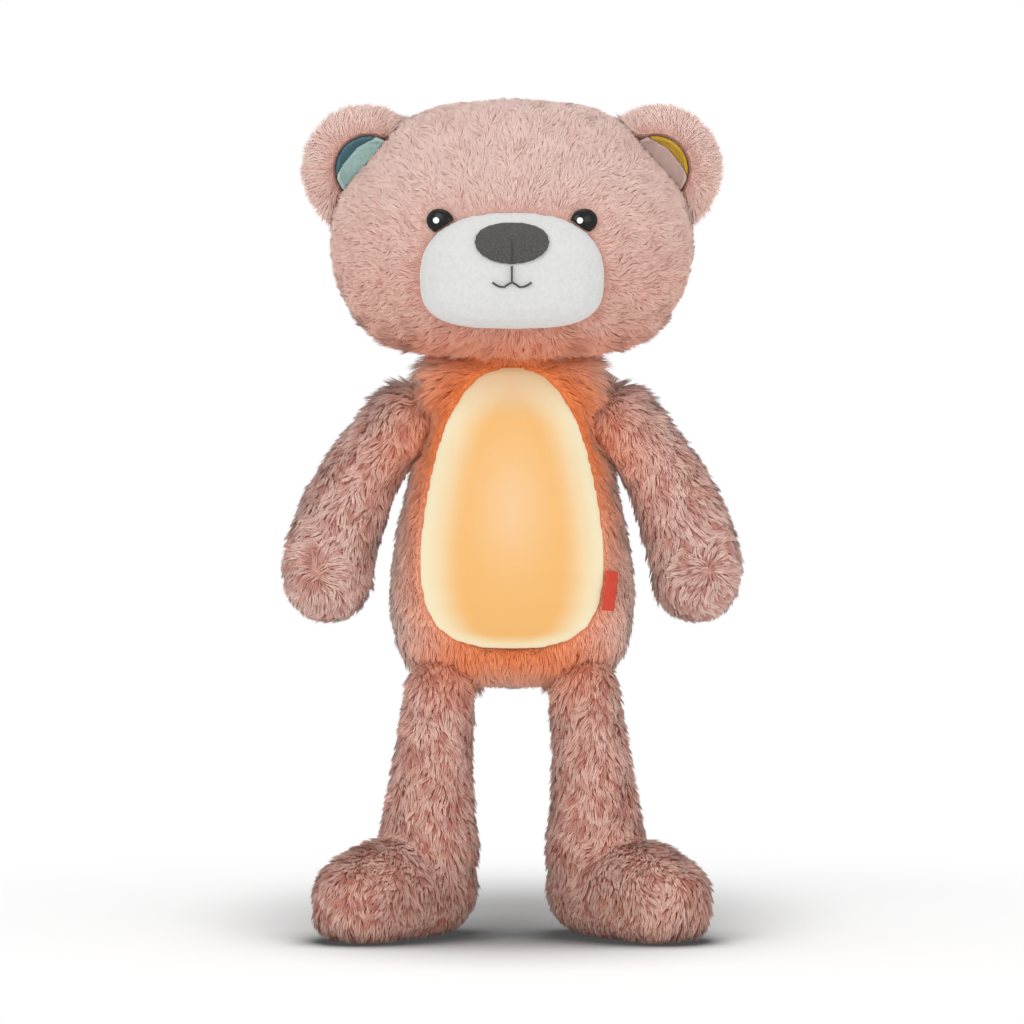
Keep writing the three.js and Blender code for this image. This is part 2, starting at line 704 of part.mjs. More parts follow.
function buildMouth() {
  const { halfWidth } = mouth;
  const heights = [mouth.top, mouth.corner, mouth.dip, mouth.lip];
  const [top, corner, dip, lip] = heights.map((rise) => muzzleZ + rise);
  const cheekX = halfWidth * mouthCurveShares.cheek;
  const cheekZ = dip + (corner - dip) / 3;
  const dipX = halfWidth * mouthCurveShares.dip;
  const smile = threadAlong([
    [-halfWidth, corner], [-cheekX, cheekZ], [-dipX, dip], [0, lip],
    [dipX, dip], [cheekX, cheekZ], [halfWidth, corner],
  ]);
  const line = threadAlong([[0, top], [0, (top + lip) / 2], [0, lip]]);
  return smile.add(line);
}

function headSurfaceAt(x, z) {
  const span = (z - head.bottom) / (head.top - head.bottom);
  const row = smoothRows(headProfileShares, profileReadings).find(([rise]) => rise >= span);
  const share = Math.min(Math.abs(x) / (row[1] * head.halfWidth), 1);
  const depth = (1 - share ** head.squareness) ** (1 / head.squareness);
  return new THREE.Vector3(x, head.middleY - row[2] * head.front * depth, z);
}

// A frame on the face: its first axis runs across, its second points out and its third up
function faceFrame(side) {
  const at = headSurfaceAt(side * eye.x, eyeZ);
  const across = headSurfaceAt(side * eye.x + eye.seat, eyeZ).sub(at);
  const up = headSurfaceAt(side * eye.x, eyeZ + eye.seat).sub(at);
  const out = new THREE.Vector3().crossVectors(across, up).normalize();
  across.normalize();
  up.crossVectors(out, across).negate().normalize();
  return new THREE.Matrix4().makeBasis(across, out, up).setPosition(at);
}

function onFace(geometry, side) {
  geometry.applyMatrix4(faceFrame(side));
  return solidFrom(geometry);
}

function eyeDome(side, grow) {
  const geometry = new THREE.SphereGeometry(1, eye.sides, eye.rings * 2);
  geometry.rotateX(Math.PI / 2);
  geometry.scale(eye.halfWidth + grow, eye.bulge + eye.seat + grow, eye.halfHeight + grow);
  geometry.rotateY(side * THREE.MathUtils.degToRad(eye.tilt));
  return onFace(geometry, side);
}

function buildEye(side) {
  return eyeDome(side, 0).subtract(headForm(-seamGap)).subtract(muzzleRoom());
}

function muzzleRoom() {
  const rimY = muzzle.seatY - muzzle.seatDepth / 2;
  const outline = Array.from({ length: muzzle.sides }, (_, side) => {
    const [x, z] = muzzleOutline((side / muzzle.sides) * Math.PI * 2);
    return [x * (1 + seamGap / muzzle.halfWidth), muzzleZ + z * (1 + seamGap / muzzle.down)];
  });
  return prismAlongY(outline, rimY - muzzle.depth * 2, 0);
}

function buildEyeGlint(side) {
  const shell = eyeDome(side, eyeGlint.thickness + seamGap).subtract(eyeDome(side, seamGap));
  const at = faceFrame(side).elements;
  const x = at[12] - eyeGlint.x;
  const z = at[14] + eyeGlint.z;
  const rod = rodAlongY(eyeGlint.radius, at[13] - overrun, at[13], x, z, eyeGlint.sides);
  return shell.intersect(rod);
}

// Light and sound module

const wallInner = module.rearY - module.wall;
const cellZone = cell.length + spring.length + 2 * contactPlate.thickness + 5 * seamGap;
const wellTop = well.bottom + cellZone;
const wellHalf = (cellCount - 1) / 2 * cell.pitch + cell.radius + well.side;
const cellY = wallInner - seamGap - cell.radius;
const wellFloorY = cellY - cell.radius - seamGap;
const boardFrontY = board.rearY - board.thickness;
const boardOutline = ovalOutline(
  module.halfWidth - module.wall - board.margin, module.halfHeight - module.wall - board.margin,
  module.z, module.squareness, moduleSides,
);
const bossPlaces = [
  [boss.upperX, boss.upperZ], [-boss.upperX, boss.upperZ],
  [boss.lowerX, boss.lowerZ], [-boss.lowerX, boss.lowerZ],
].map(([x, rise]) => [x, module.z + rise]);
const doorScrewZ = well.bottom - door.tabLength / 2;
const doorTop = module.rearY;
const doorBottom = module.rearY - door.thickness;

function buildHousing() {
  const outer = prismAlongY(moduleOutline(0), module.frontY, module.rearY);
  const hollow = prismAlongY(moduleOutline(-module.wall), module.frontY - overrun, wallInner);
  const wellShell = boxBetween(
    [-wellHalf - well.wall, wellFloorY - well.wall, well.bottom - well.wall],
    [wellHalf + well.wall, wallInner + module.wall / 2, wellTop + well.wall],
  );
  const wellRoom = boxBetween(
    [-wellHalf, wellFloorY, well.bottom],
    [wellHalf, module.rearY + overrun, wellTop],
  );
  const tabRoom = boxBetween(
    [-door.tabWidth / 2 - seamGap, doorBottom - seamGap, well.bottom - door.tabLength - seamGap],
    [door.tabWidth / 2 + seamGap, module.rearY + overrun, well.bottom + overrun],
  );
  const posts = bossPlaces.map(([x, z]) => {
    return rodAlongY(boss.radius, board.rearY + boss.reach, wallInner + module.wall / 2, x, z, boss.sides);
  });
  const doorPost = rodAlongY(
    boss.radius, wellFloorY, wallInner + module.wall / 2, 0, doorScrewZ, boss.sides,
  );
  const pilotRadius = screw.shankRadius + screw.clearance / 2;
  const pilots = bossPlaces.map(([x, z]) => {
    const pilotEnd = boardFrontY + screw.length + seamGap;
    return rodAlongY(pilotRadius, board.rearY - overrun, pilotEnd, x, z, screw.sides);
  });
  const doorPilot = rodAlongY(
    pilotRadius, doorTop - screw.length - seamGap, doorTop + overrun, 0, doorScrewZ, screw.sides,
  );
  const slots = Array.from({ length: grille.slots }, (_, slot) => {
    const z = speaker.z + (slot - (grille.slots - 1) / 2) * grille.pitch;
    return boxBetween(
      [-grille.halfLength, wallInner - seamGap, z - grille.halfHeight],
      [grille.halfLength, module.rearY + overrun, z + grille.halfHeight],
    );
  });
  const buttonHoles = [pushButton.upperZ, pushButton.lowerZ].map((z) => {
    const radius = pushButton.radius + controls.holeGap;
    return rodAlongY(radius, wallInner - seamGap, module.rearY + overrun, -controls.x, z, buttonSides);
  });
  const knobHalf = slideKnob.length / 2 + slideKnob.travel + controls.holeGap;
  const knobSlot = boxBetween(
    [controls.x - slideKnob.width / 2 - controls.holeGap, wallInner - seamGap, slideKnob.z - knobHalf],
    [controls.x + slideKnob.width / 2 + controls.holeGap, module.rearY + overrun, slideKnob.z + knobHalf],
  );
  const filled = joined(outer.subtract(hollow), wellShell, ...posts, doorPost).intersect(outer);
  return [wellRoom, tabRoom, ...pilots, doorPilot, ...slots, ...buttonHoles, knobSlot]
    .reduce((solid, cut) => solid.subtract(cut), filled);
}

function buildBatteryDoor() {
  const plate = boxBetween(
    [-wellHalf + seamGap, doorBottom, well.bottom + seamGap],
    [wellHalf - seamGap, doorTop, wellTop - seamGap],
  );
  const tab = boxBetween(
    [-door.tabWidth / 2, doorBottom, well.bottom - door.tabLength],
    [door.tabWidth / 2, doorTop, well.bottom + overrun],
  );
  const hole = rodAlongY(
    screw.shankRadius + screw.clearance, doorBottom - overrun, doorTop + overrun, 0, doorScrewZ, screw.sides,
  );
  return plate.add(tab).subtract(hole);
}

// A pan-head screw whose head rests on a face and whose shank runs towards +Y or -Y from it
function buildScrew(x, z, faceY, direction) {
  const headY = faceY - direction * (seamGap / 3);
  const profile = [
    [0, headY - direction * screw.headHeight],
    [screw.headRadius * screw.crownShare, headY - direction * screw.headHeight],
    [screw.headRadius, headY - direction * screw.headHeight / 2],
    [screw.headRadius, headY],
    [screw.shankRadius, headY],
    [screw.shankRadius, headY + direction * (screw.length - screw.shankRadius)],
    [0, headY + direction * screw.length],
  ];
  return turnedAlongY(direction > 0 ? profile : profile.reverse(), x, z, screw.sides);
}

function buildBoard() {
  const radius = screw.shankRadius + screw.clearance;
  const holes = bossPlaces.map(([x, z]) => {
    return rodAlongY(radius, boardFrontY - overrun, board.rearY + overrun, x, z, screw.sides);
  });
  const plate = prismAlongY(boardOutline, boardFrontY, board.rearY);
  return holes.reduce((solid, hole) => solid.subtract(hole), plate);
}

const ledPlaces = [[1, 1], [-1, 1], [1, -1], [-1, -1]].map(([x, z]) => [x * led.x, module.z + z * led.z]);

function buildLed([x, z]) {
  const seat = boardFrontY - seamGap / 3;
  const rim = seat - led.height;
  return turnedAlongY([
    [0, rim - led.domeRadius],
    [led.domeRadius * ledDomeShares.width, rim - led.domeRadius * ledDomeShares.rise],
    [led.domeRadius, rim],
    [led.radius, rim], [led.radius, seat], [0, seat],
  ], x, z, led.sides);
}

// Oval rings along y, each given as [half width, half height, y]
function ovalDish(steps, sides) {
  return solidFrom(loft(steps.map(([halfWidth, halfHeight, y]) => {
    return ovalOutline(halfWidth, halfHeight, module.z, module.squareness, sides)
      .map(([x, z]) => new THREE.Vector3(x, y, z));
  })));
}

function buildReflector() {
  const floor = reflector.floorY + reflector.thickness;
  const mouthGap = module.wall + seamGap;
  const rimWidth = module.halfWidth - mouthGap;
  const rimHeight = module.halfHeight - mouthGap;
  const rimY = module.frontY + seamGap;
  const { thickness, floorY, floorHalfWidth, floorHalfHeight } = reflector;
  const outer = ovalDish([
    [floorHalfWidth, floorHalfHeight, floor],
    [floorHalfWidth + thickness, floorHalfHeight + thickness, floorY],
    [rimWidth, rimHeight, rimY],
  ], moduleSides);
  const inner = ovalDish([
    [floorHalfWidth - thickness, floorHalfHeight - thickness, floorY],
    [rimWidth - thickness, rimHeight - thickness, rimY],
    [rimWidth - thickness, rimHeight - thickness, rimY - overrun],
  ], moduleSides);
  const holes = ledPlaces.map(([x, z]) => {
    return rodAlongY(reflector.holeRadius, reflector.floorY - overrun, floor + overrun, x, z, led.sides);
  });
  return holes.reduce((solid, hole) => solid.subtract(hole), outer.subtract(inner));
}

function buildDiffuser() {
  const domeOf = (inset, rimY) => {
    const rise = rimY - diffuser.frontY - inset;
    const steps = [[1, rimY]];
    for (let ring = 1; ring < diffuser.rings; ring += 1) {
      const share = Math.cos((ring / diffuser.rings) * (Math.PI / 2));
      const fall = (1 - share ** diffuser.power) ** diffuser.fall;
      steps.push([share, rimY - rise * fall]);
    }
    return steps.map(([share, y]) => {
      return [(module.halfWidth - inset) * share, (module.halfHeight - inset) * share, y];
    });
  };
  const rimY = module.frontY - seamGap;
  const outerSteps = domeOf(0, rimY);
  const innerSteps = domeOf(diffuser.wall, rimY);
  const mouthStep = [innerSteps[0][0], innerSteps[0][1], rimY + overrun];
  return ovalDish(outerSteps, diffuser.sides).subtract(ovalDish([mouthStep, ...innerSteps], diffuser.sides));
}

function buildLiner() {
  const outer = prismAlongY(moduleOutline(seamGap + liner.thickness), liner.frontY, module.rearY - seamGap);
  const inner = prismAlongY(moduleOutline(seamGap), liner.frontY - overrun, module.rearY + overrun);
  return outer.subtract(inner);
}

const cellX = (place) => (place - (cellCount - 1) / 2) * cell.pitch;
const isTurned = (place) => place % 2 === 1;
const wellMiddle = (well.bottom + wellTop) / 2;

// A piece modelled from the well's bottom up, turned end for end where the cell is
function inWell(geometry, place) {
  if (isTurned(place)) {
    geometry.rotateX(Math.PI);
    geometry.translate(0, 2 * cellY, 2 * wellMiddle);
  }
  return solidFrom(geometry);
}

function buildCell(place) {
  const low = well.bottom + contactPlate.thickness + spring.length + 3 * seamGap;
  const shoulderZ = low + cell.length - cell.nubLength;
  const profile = [
    [0, low], [cell.radius, low], [cell.radius, shoulderZ],
    [cell.nubRadius, shoulderZ], [cell.nubRadius, low + cell.length], [0, low + cell.length],
  ];
  const geometry = new THREE.LatheGeometry(profile.map(([r, z]) => new THREE.Vector2(r, z)), cell.sides);
  geometry.rotateX(Math.PI / 2);
  geometry.translate(cellX(place), cellY, 0);
  return inWell(geometry, place);
}

function buildSpring(place) {
  const low = well.bottom + contactPlate.thickness + 2 * seamGap + spring.wireRadius;
  const climb = spring.length - 2 * spring.wireRadius;
  const steps = spring.turns * spring.stepsPerTurn;
  const points = Array.from({ length: steps + 1 }, (_, step) => {
    const angle = (step / spring.stepsPerTurn) * Math.PI * 2;
    const x = cellX(place) + Math.cos(angle) * spring.radius;
    return new THREE.Vector3(x, cellY + Math.sin(angle) * spring.radius, low + (step / steps) * climb);
  });
  const wire = new THREE.Shape(Array.from({ length: spring.sides }, (_, side) => {
    const angle = (side / spring.sides) * Math.PI * 2;
    return new THREE.Vector2(Math.cos(angle) * spring.wireRadius, Math.sin(angle) * spring.wireRadius);
  }));
  const extrudePath = new THREE.CatmullRomCurve3(points);
  return inWell(new THREE.ExtrudeGeometry(wire, { steps, extrudePath, bevelEnabled: false }), place);
}

function buildContactPlate(low) {
  return boxBetween(
    [-wellHalf + seamGap, cellY - contactPlate.depth / 2, low],
    [wellHalf - seamGap, cellY + contactPlate.depth / 2, low + contactPlate.thickness],
  );
}

const speakerRimY = wallInner - seamGap;
const speakerBackY = speakerRimY - speaker.depth;

function buildSpeakerFrame() {
  return turnedAlongY([
    [0, speakerBackY],
    [speaker.throatRadius, speakerBackY],
    [speaker.radius - speaker.rim, speakerRimY - speaker.rim],
    [speaker.radius, speakerRimY - speaker.rim],
    [speaker.radius, speakerRimY],
    [speaker.radius - speaker.rim, speakerRimY],
    [speaker.throatRadius - speaker.wall, speakerBackY + speaker.wall],
    [0, speakerBackY + speaker.wall],
  ], 0, speaker.z, speaker.sides);
}

function buildSpeakerMagnet() {
  const top = speakerBackY - seamGap;
  return rodAlongY(speakerMagnet.radius, top - speakerMagnet.thickness, top, 0, speaker.z, speaker.sides);
}

function buildSpeakerCone() {
  const rim = speakerRimY - seamGap;
  const throat = rim - speakerCone.drop;
  return turnedAlongY([
    [0, throat], [speakerCone.capRadius, throat], [speakerCone.radius, rim - speakerCone.thickness],
    [speakerCone.radius, rim], [speakerCone.capRadius, throat + speakerCone.thickness],
    [0, throat + speakerCone.capRadius / 2],
  ], 0, speaker.z, speaker.sides);
}

const controlBodyTop = board.rearY + seamGap + controls.bodyHeight;

function buildControlBody(x, z) {
  const half = controls.bodySize / 2;
  return boxBetween([x - half, board.rearY + seamGap, z - half], [x + half, controlBodyTop, z + half]);
}

function buildPushButton(z) {
  const flangeTop = wallInner - seamGap;
  const stemEnd = controlBodyTop + seamGap + pushButton.travel;
  const capTop = module.rearY + controls.proud;
  return turnedAlongY([
    [0, stemEnd], [pushButton.stemRadius, stemEnd], [pushButton.stemRadius, flangeTop - pushButton.flange],
    [pushButton.flangeRadius, flangeTop - pushButton.flange], [pushButton.flangeRadius, flangeTop],
    [pushButton.radius, flangeTop], [pushButton.radius, capTop], [0, capTop],
  ], -controls.x, z, buttonSides);
}

function buildSlideKnob() {
  const flangeTop = wallInner - seamGap;
  const { width, length, flangeLength, flangeWidth, z } = slideKnob;
  const block = (halfX, halfZ, nearY, farY) => boxBetween(
    [controls.x - halfX, nearY, z - halfZ], [controls.x + halfX, farY, z + halfZ],
  );
  const cap = block(width / 2, length / 2, flangeTop - pushButton.flange / 2, module.rearY + controls.proud);
  const flange = block(flangeWidth / 2, flangeLength / 2, flangeTop - pushButton.flange, flangeTop);
  const stem = block(width / 4, width / 4, controlBodyTop + seamGap, flangeTop - pushButton.flange / 2);
  return joined(cap, flange, stem);
}

// Finishes

function finish(color, roughness, metalness = 0) {
  return new THREE.MeshStandardMaterial({ color, roughness, metalness });
}

const fur = finish(0xc8a79b, 0.95);
const whitePlush = finish(0xf4f2ee, 0.9);
const charcoalFelt = finish(0x5c5a58, 0.9);
const blackThread = finish(0x232321, 0.35);
const litCloth = finish(0xfbdc9e, 0.7);
const aquaCloth = finish(0xa5c8c3, 0.8);
const tealCloth = finish(0x3c6973, 0.8);
const roseCloth = finish(0xbea09b, 0.8);
const yellowCloth = finish(0xbe9614, 0.8);
const redTape = finish(0xcd3c23, 0.7);
const whitePlastic = finish(0xe9e8e4, 0.45);
const opalPlastic = finish(0xfaf4e6, 0.35);
const darkPlastic = finish(0x2e2e30, 0.5);
const boardGreen = finish(0x2c6b45, 0.5);
const springSteel = finish(0xb9bcc0, 0.3, 1);
const cellWrap = finish(0x7c8a92, 0.35, 0.4);
const paperCone = finish(0x3a3a3a, 0.8);
const liningCloth = finish(0xe6ddd4, 0.9);

// The toy, moved so that its origin lies on the floor midway between the nose and the back of the head
const bear = new THREE.Group();
bear.name = 'plush_night_light';
const figure = new THREE.Group();
const noseFrontY = muzzle.seatY - muzzle.seatDepth / 2 - muzzle.depth - nose.lift - nose.thickness;
figure.position.y = -(noseFrontY + head.middleY + head.back) / 2;
bear.add(figure);

function addPiece(name, solid, material) {
  const mesh = new THREE.Mesh(geometryFrom(solid), material);
  mesh.name = name;
  figure.add(mesh);
}

addPiece('torso', buildTorso(), fur);
addPiece('belly_panel', buildBellyPanel(), litCloth);
addPiece('side_tag', buildTag(), redTape);
addPiece('back_flap', buildBackFlap(), fur);
addPiece('hook_strip', buildStrip(hookY), liningCloth);
addPiece('loop_strip', buildStrip(loopY), liningCloth);
addPiece('neck', buildNeck(), fur);
addPiece('head', headWithNeckHole(0), fur);
addPiece('muzzle', buildMuzzle(), whitePlush);
addPiece('nose', buildNose(), charcoalFelt);
addPiece('mouth_stitch', buildMouth(), blackThread);

const sides = [
  { name: 'left', side: 1, lining: roseCloth, accent: yellowCloth },
  { name: 'right', side: -1, lining: aquaCloth, accent: tealCloth },
];
for (const { name, side, lining, accent } of sides) {
  addPiece(`eye_${name}`, buildEye(side), blackThread);
  addPiece(`eye_glint_${name}`, buildEyeGlint(side), whitePlush);
  addPiece(`ear_${name}`, buildEar(side), fur);
  addPiece(`ear_lining_${name}`, buildEarLining(side), lining);
  addPiece(`ear_accent_${name}`, buildEarAccent(side), accent);
  addPiece(`arm_${name}`, buildArm(side), fur);
  addPiece(`leg_${name}`, buildLeg(side), fur);
}

addPiece('pocket_liner', buildLiner(), liningCloth);
addPiece('module_housing', buildHousing(), whitePlastic);
addPiece('light_diffuser', buildDiffuser(), opalPlastic);
addPiece('reflector', buildReflector(), whitePlastic);
addPiece('circuit_board', buildBoard(), boardGreen);
ledPlaces.forEach((place, count) => addPiece(`led_${count + 1}`, buildLed(place), opalPlastic));
bossPlaces.forEach(([x, z], count) => {
  addPiece(`board_screw_${count + 1}`, buildScrew(x, z, boardFrontY, 1), springSteel);
});
for (let place = 0; place < cellCount; place += 1) {
  addPiece(`battery_cell_${place + 1}`, buildCell(place), cellWrap);
  addPiece(`battery_spring_${place + 1}`, buildSpring(place), springSteel);
}
addPiece('contact_plate_lower', buildContactPlate(well.bottom + seamGap), springSteel);
addPiece('contact_plate_upper', buildContactPlate(wellTop - seamGap - contactPlate.thickness), springSteel);
addPiece('battery_door', buildBatteryDoor(), whitePlastic);
addPiece('door_screw', buildScrew(0, doorScrewZ, doorTop, -1), springSteel);
addPiece('speaker_frame', buildSpeakerFrame(), springSteel);
addPiece('speaker_magnet', buildSpeakerMagnet(), springSteel);
addPiece('speaker_cone', buildSpeakerCone(), paperCone);
addPiece('light_switch_body', buildControlBody(-controls.x, pushButton.upperZ), darkPlastic);
addPiece('sound_switch_body', buildControlBody(-controls.x, pushButton.lowerZ), darkPlastic);
addPiece('power_switch_body', buildControlBody(controls.x, slideKnob.z), darkPlastic);
addPiece('light_button', buildPushButton(pushButton.upperZ), darkPlastic);
addPiece('sound_button', buildPushButton(pushButton.lowerZ), darkPlastic);
addPiece('power_slider', buildSlideKnob(), darkPlastic);

export default bear;
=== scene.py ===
"""A plush bear night light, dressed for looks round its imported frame. Lengths are in metres."""

import json
import math
from dataclasses import dataclass

import bpy
import numpy as np
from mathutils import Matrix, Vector, kdtree
from mathutils.bvhtree import BVHTree

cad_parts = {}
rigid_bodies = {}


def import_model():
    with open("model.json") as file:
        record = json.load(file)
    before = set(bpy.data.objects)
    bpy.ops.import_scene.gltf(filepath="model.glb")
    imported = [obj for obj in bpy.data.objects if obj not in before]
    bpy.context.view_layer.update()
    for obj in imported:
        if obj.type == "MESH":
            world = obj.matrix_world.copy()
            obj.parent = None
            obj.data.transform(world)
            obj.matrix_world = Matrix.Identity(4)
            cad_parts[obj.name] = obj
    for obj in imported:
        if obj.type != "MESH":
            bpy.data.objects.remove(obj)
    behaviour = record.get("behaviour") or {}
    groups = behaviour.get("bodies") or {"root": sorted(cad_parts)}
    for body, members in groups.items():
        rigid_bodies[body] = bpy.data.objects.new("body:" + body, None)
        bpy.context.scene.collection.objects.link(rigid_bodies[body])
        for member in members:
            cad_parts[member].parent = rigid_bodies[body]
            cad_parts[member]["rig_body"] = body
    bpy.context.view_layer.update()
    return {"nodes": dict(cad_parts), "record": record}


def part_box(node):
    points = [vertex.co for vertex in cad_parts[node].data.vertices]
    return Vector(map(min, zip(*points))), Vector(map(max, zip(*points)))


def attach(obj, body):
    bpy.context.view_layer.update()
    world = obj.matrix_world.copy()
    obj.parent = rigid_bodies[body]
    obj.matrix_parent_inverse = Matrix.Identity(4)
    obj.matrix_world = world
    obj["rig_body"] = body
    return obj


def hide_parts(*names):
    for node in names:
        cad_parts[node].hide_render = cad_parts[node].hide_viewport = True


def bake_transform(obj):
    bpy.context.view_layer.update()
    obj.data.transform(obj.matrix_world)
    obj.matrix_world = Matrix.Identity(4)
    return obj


MM = 0.001
WHITE = (1, 1, 1, 1)
BLACK = (0, 0, 0, 1)

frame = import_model()
cad = frame["nodes"]
scene = bpy.context.scene
scene.view_settings.view_transform = "Standard"


# Camera and light, as in the photograph: a long lens, a little above the toy's middle

TARGET = Vector((0, 11.3 * MM, 169.8 * MM))
DISTANCE = 10
ELEVATION = math.radians(5)
FRAME_WIDTH = 409.6 * MM
SENSOR = 36
CLIP_END = 100


def add_camera():
    data = bpy.data.cameras.new("camera")
    data.sensor_width = SENSOR
    data.lens = SENSOR * DISTANCE / FRAME_WIDTH
    data.clip_end = CLIP_END
    camera = bpy.data.objects.new("camera", data)
    scene.collection.objects.link(camera)
    back = Vector((0, -math.cos(ELEVATION), math.sin(ELEVATION)))
    camera.location = TARGET + back * DISTANCE
    camera.rotation_euler = (-back).to_track_quat("-Z", "Y").to_euler()
    scene.camera = camera


def add_softbox(name, place, size, power):
    """A square area lamp that faces the middle of the toy."""
    data = bpy.data.lights.new(name, "AREA")
    data.size = size
    data.energy = power
    lamp = bpy.data.objects.new(name, data)
    scene.collection.objects.link(lamp)
    lamp.location = place
    lamp.rotation_euler = (TARGET - lamp.location).to_track_quat("-Z", "Y").to_euler()


def seen_directly(tree):
    """A socket that is 1 for what the camera, a mirror or clear glass sees, and 0 for light on surfaces."""
    path = tree.nodes.new("ShaderNodeLightPath")
    total = path.outputs["Is Camera Ray"]
    for name in ("Is Glossy Ray", "Is Transmission Ray"):
        greater = tree.nodes.new("ShaderNodeMath")
        greater.operation = "MAXIMUM"
        tree.links.new(total, greater.inputs[0])
        tree.links.new(path.outputs[name], greater.inputs[1])
        total = greater.outputs[0]
    return total


def light_the_world(strength):
    """An even white sky that lights at the given strength and is seen as plain white."""
    world = bpy.data.worlds.new("studio")
    world.use_nodes = True
    scene.world = world
    tree = world.node_tree
    background = tree.nodes["Background"]
    background.inputs["Color"].default_value = WHITE
    level = tree.nodes.new("ShaderNodeMapRange")
    level.inputs["To Min"].default_value = strength
    level.inputs["To Max"].default_value = 1
    tree.links.new(seen_directly(tree), level.inputs["Value"])
    tree.links.new(level.outputs[0], background.inputs["Strength"])


add_camera()
light_the_world(strength=0.62)
add_softbox("key", place=(-0.9, -1.7, 1.1), size=1.1, power=13.8)
add_softbox("fill", place=(1.1, -1.6, 0.5), size=1.2, power=9)
add_softbox("top", place=(0, -0.1, 1.7), size=0.9, power=4.5)


# Materials

# The phase that a wave texture gains over one unit of length, and where most of a noise texture's values lie
WAVE_PHASE = 20
NOISE_SPAN = (0.3, 0.7)


def srgb(red, green, blue):
    """The linear colour of an sRGB colour of 0 to 255."""
    parts = [value / 255 for value in (red, green, blue)]
    return tuple(part / 12.92 if part < 0.04 else ((part + 0.055) / 1.055) ** 2.4 for part in parts) + (1,)


def darker(colour, share):
    """The colour with the given share of its light."""
    return tuple(share * part for part in colour[:3]) + (1,)


class Finish:
    """A Principled material and short calls for its texture nodes, which lie in the piece's own space."""

    def __init__(self, name, roughness, **sockets):
        self.material = bpy.data.materials.new(name)
        self.material.use_nodes = True
        self.tree = self.material.node_tree
        self.shader = self.tree.nodes["Principled BSDF"]
        self.shader.inputs["Roughness"].default_value = roughness
        for socket, value in sockets.items():
            self.shader.inputs[socket.replace("_", " ")].default_value = value
        self.place = self.add("TexCoord").outputs["Object"]

    def set(self, node, socket, value):
        """Gives a socket a number or a colour, or links another node's output to it."""
        if isinstance(value, bpy.types.NodeSocket):
            self.tree.links.new(value, node.inputs[socket])
        else:
            node.inputs[socket].default_value = value

    def add(self, kind, inputs=None, **settings):
        node = self.tree.nodes.new("ShaderNode" + kind)
        for name, value in settings.items():
            setattr(node, name, value)
        for socket, value in (inputs or {}).items():
            self.set(node, socket, value)
        return node

    def attribute(self, name):
        return self.add("Attribute", attribute_name=name).outputs["Fac"]

    def maths(self, operation, first, second):
        return self.add("Math", {0: first, 1: second}, operation=operation).outputs[0]

    def noise(self, size, detail=3):
        """Soft values, mostly within NOISE_SPAN, that change over the given distance."""
        return self.add("TexNoise", {"Vector": self.place, "Scale": 1 / size, "Detail": detail}).outputs[0]

    def cells(self, size):
        """Distance from the middle of scattered cells of the given size."""
        return self.add("TexVoronoi", {"Vector": self.place, "Scale": 1 / size}).outputs["Distance"]

    def threads(self, pitch, axis):
        """Bands of 0 to 1, one to a thread, across the given axis."""
        scale = 2 * math.pi / WAVE_PHASE / pitch
        inputs = {"Vector": self.place, "Scale": scale, "Distortion": 0.4, "Detail": 1}
        return self.add("TexWave", inputs, bands_direction=axis).outputs["Fac"]

    def weave(self, pitch, axes="XZ"):
        first, second = (self.threads(pitch, axis) for axis in axes)
        return self.maths("MAXIMUM", first, second)

    def spread(self, value, low, high):
        """The value's range low to high as 0 to 1, with smooth ends."""
        inputs = {"Value": value, "From Min": low, "From Max": high}
        return self.add("MapRange", inputs, interpolation_type="SMOOTHSTEP").outputs[0]

    def scaled(self, value, low, high):
        """A value of 0 to 1 as low to high."""
        return self.add("MapRange", {"Value": value, "To Min": low, "To Max": high}).outputs[0]

    def mix(self, factor, first, second):
        return self.add("Mix", {0: factor, 6: first, 7: second}, data_type="RGBA").outputs[2]

    def colour(self, value):
        self.set(self.shader, "Base Color", value)

    def bump(self, height, distance, strength=1):
        inputs = {"Height": height, "Distance": distance, "Strength": strength}
        self.set(self.shader, "Normal", self.add("Bump", inputs).outputs[0])

    def emit(self, colour, strength):
        self.set(self.shader, "Emission Color", colour)
        self.set(self.shader, "Emission Strength", strength)


PALE_TIP = srgb(237, 216, 209)
PALE_ROOT = srgb(204, 166, 158)
WARM_TIP = srgb(254, 214, 196)
WARM_ROOT = srgb(190, 104, 84)
LIT_TIP = srgb(218, 112, 40)
LIT_ROOT = srgb(190, 78, 28)
LIT_GLOW = srgb(236, 122, 48)
CREAM = srgb(250, 238, 200)
AMBER = srgb(247, 188, 108)
PEACH = srgb(250, 203, 148)
# The colour of the chin's painted shadow on the panel, which also darkens the knit's threads
DUSK = srgb(222, 172, 122)

FUR_GLOW = 0.23
BACKING_GLOW = 0.1
PANEL_GLOW = 0.48
PANEL_DARKENING = 0.55


def fur_finish():
    """Pile, pale at the tip and warm and dark at the root with painted shade, and orange where the lit panel
    shines on it.
    """
    sheen = {"Sheen_Weight": 0.36, "Sheen_Roughness": 0.5, "Sheen_Tint": PALE_TIP}
    finish = Finish("fur_pile", 0.8, Specular_IOR_Level=0.2, **sheen)
    warmth_and_shade = finish.attribute("warmth_and_shade")
    glow = finish.attribute("glow")
    root = finish.mix(glow, finish.mix(warmth_and_shade, PALE_ROOT, WARM_ROOT), LIT_ROOT)
    tip = finish.mix(glow, finish.mix(warmth_and_shade, PALE_TIP, WARM_TIP), LIT_TIP)
    finish.colour(finish.mix(finish.attribute("shade"), tip, root))
    finish.emit(LIT_GLOW, finish.maths("MULTIPLY", glow, FUR_GLOW))
    return finish.material


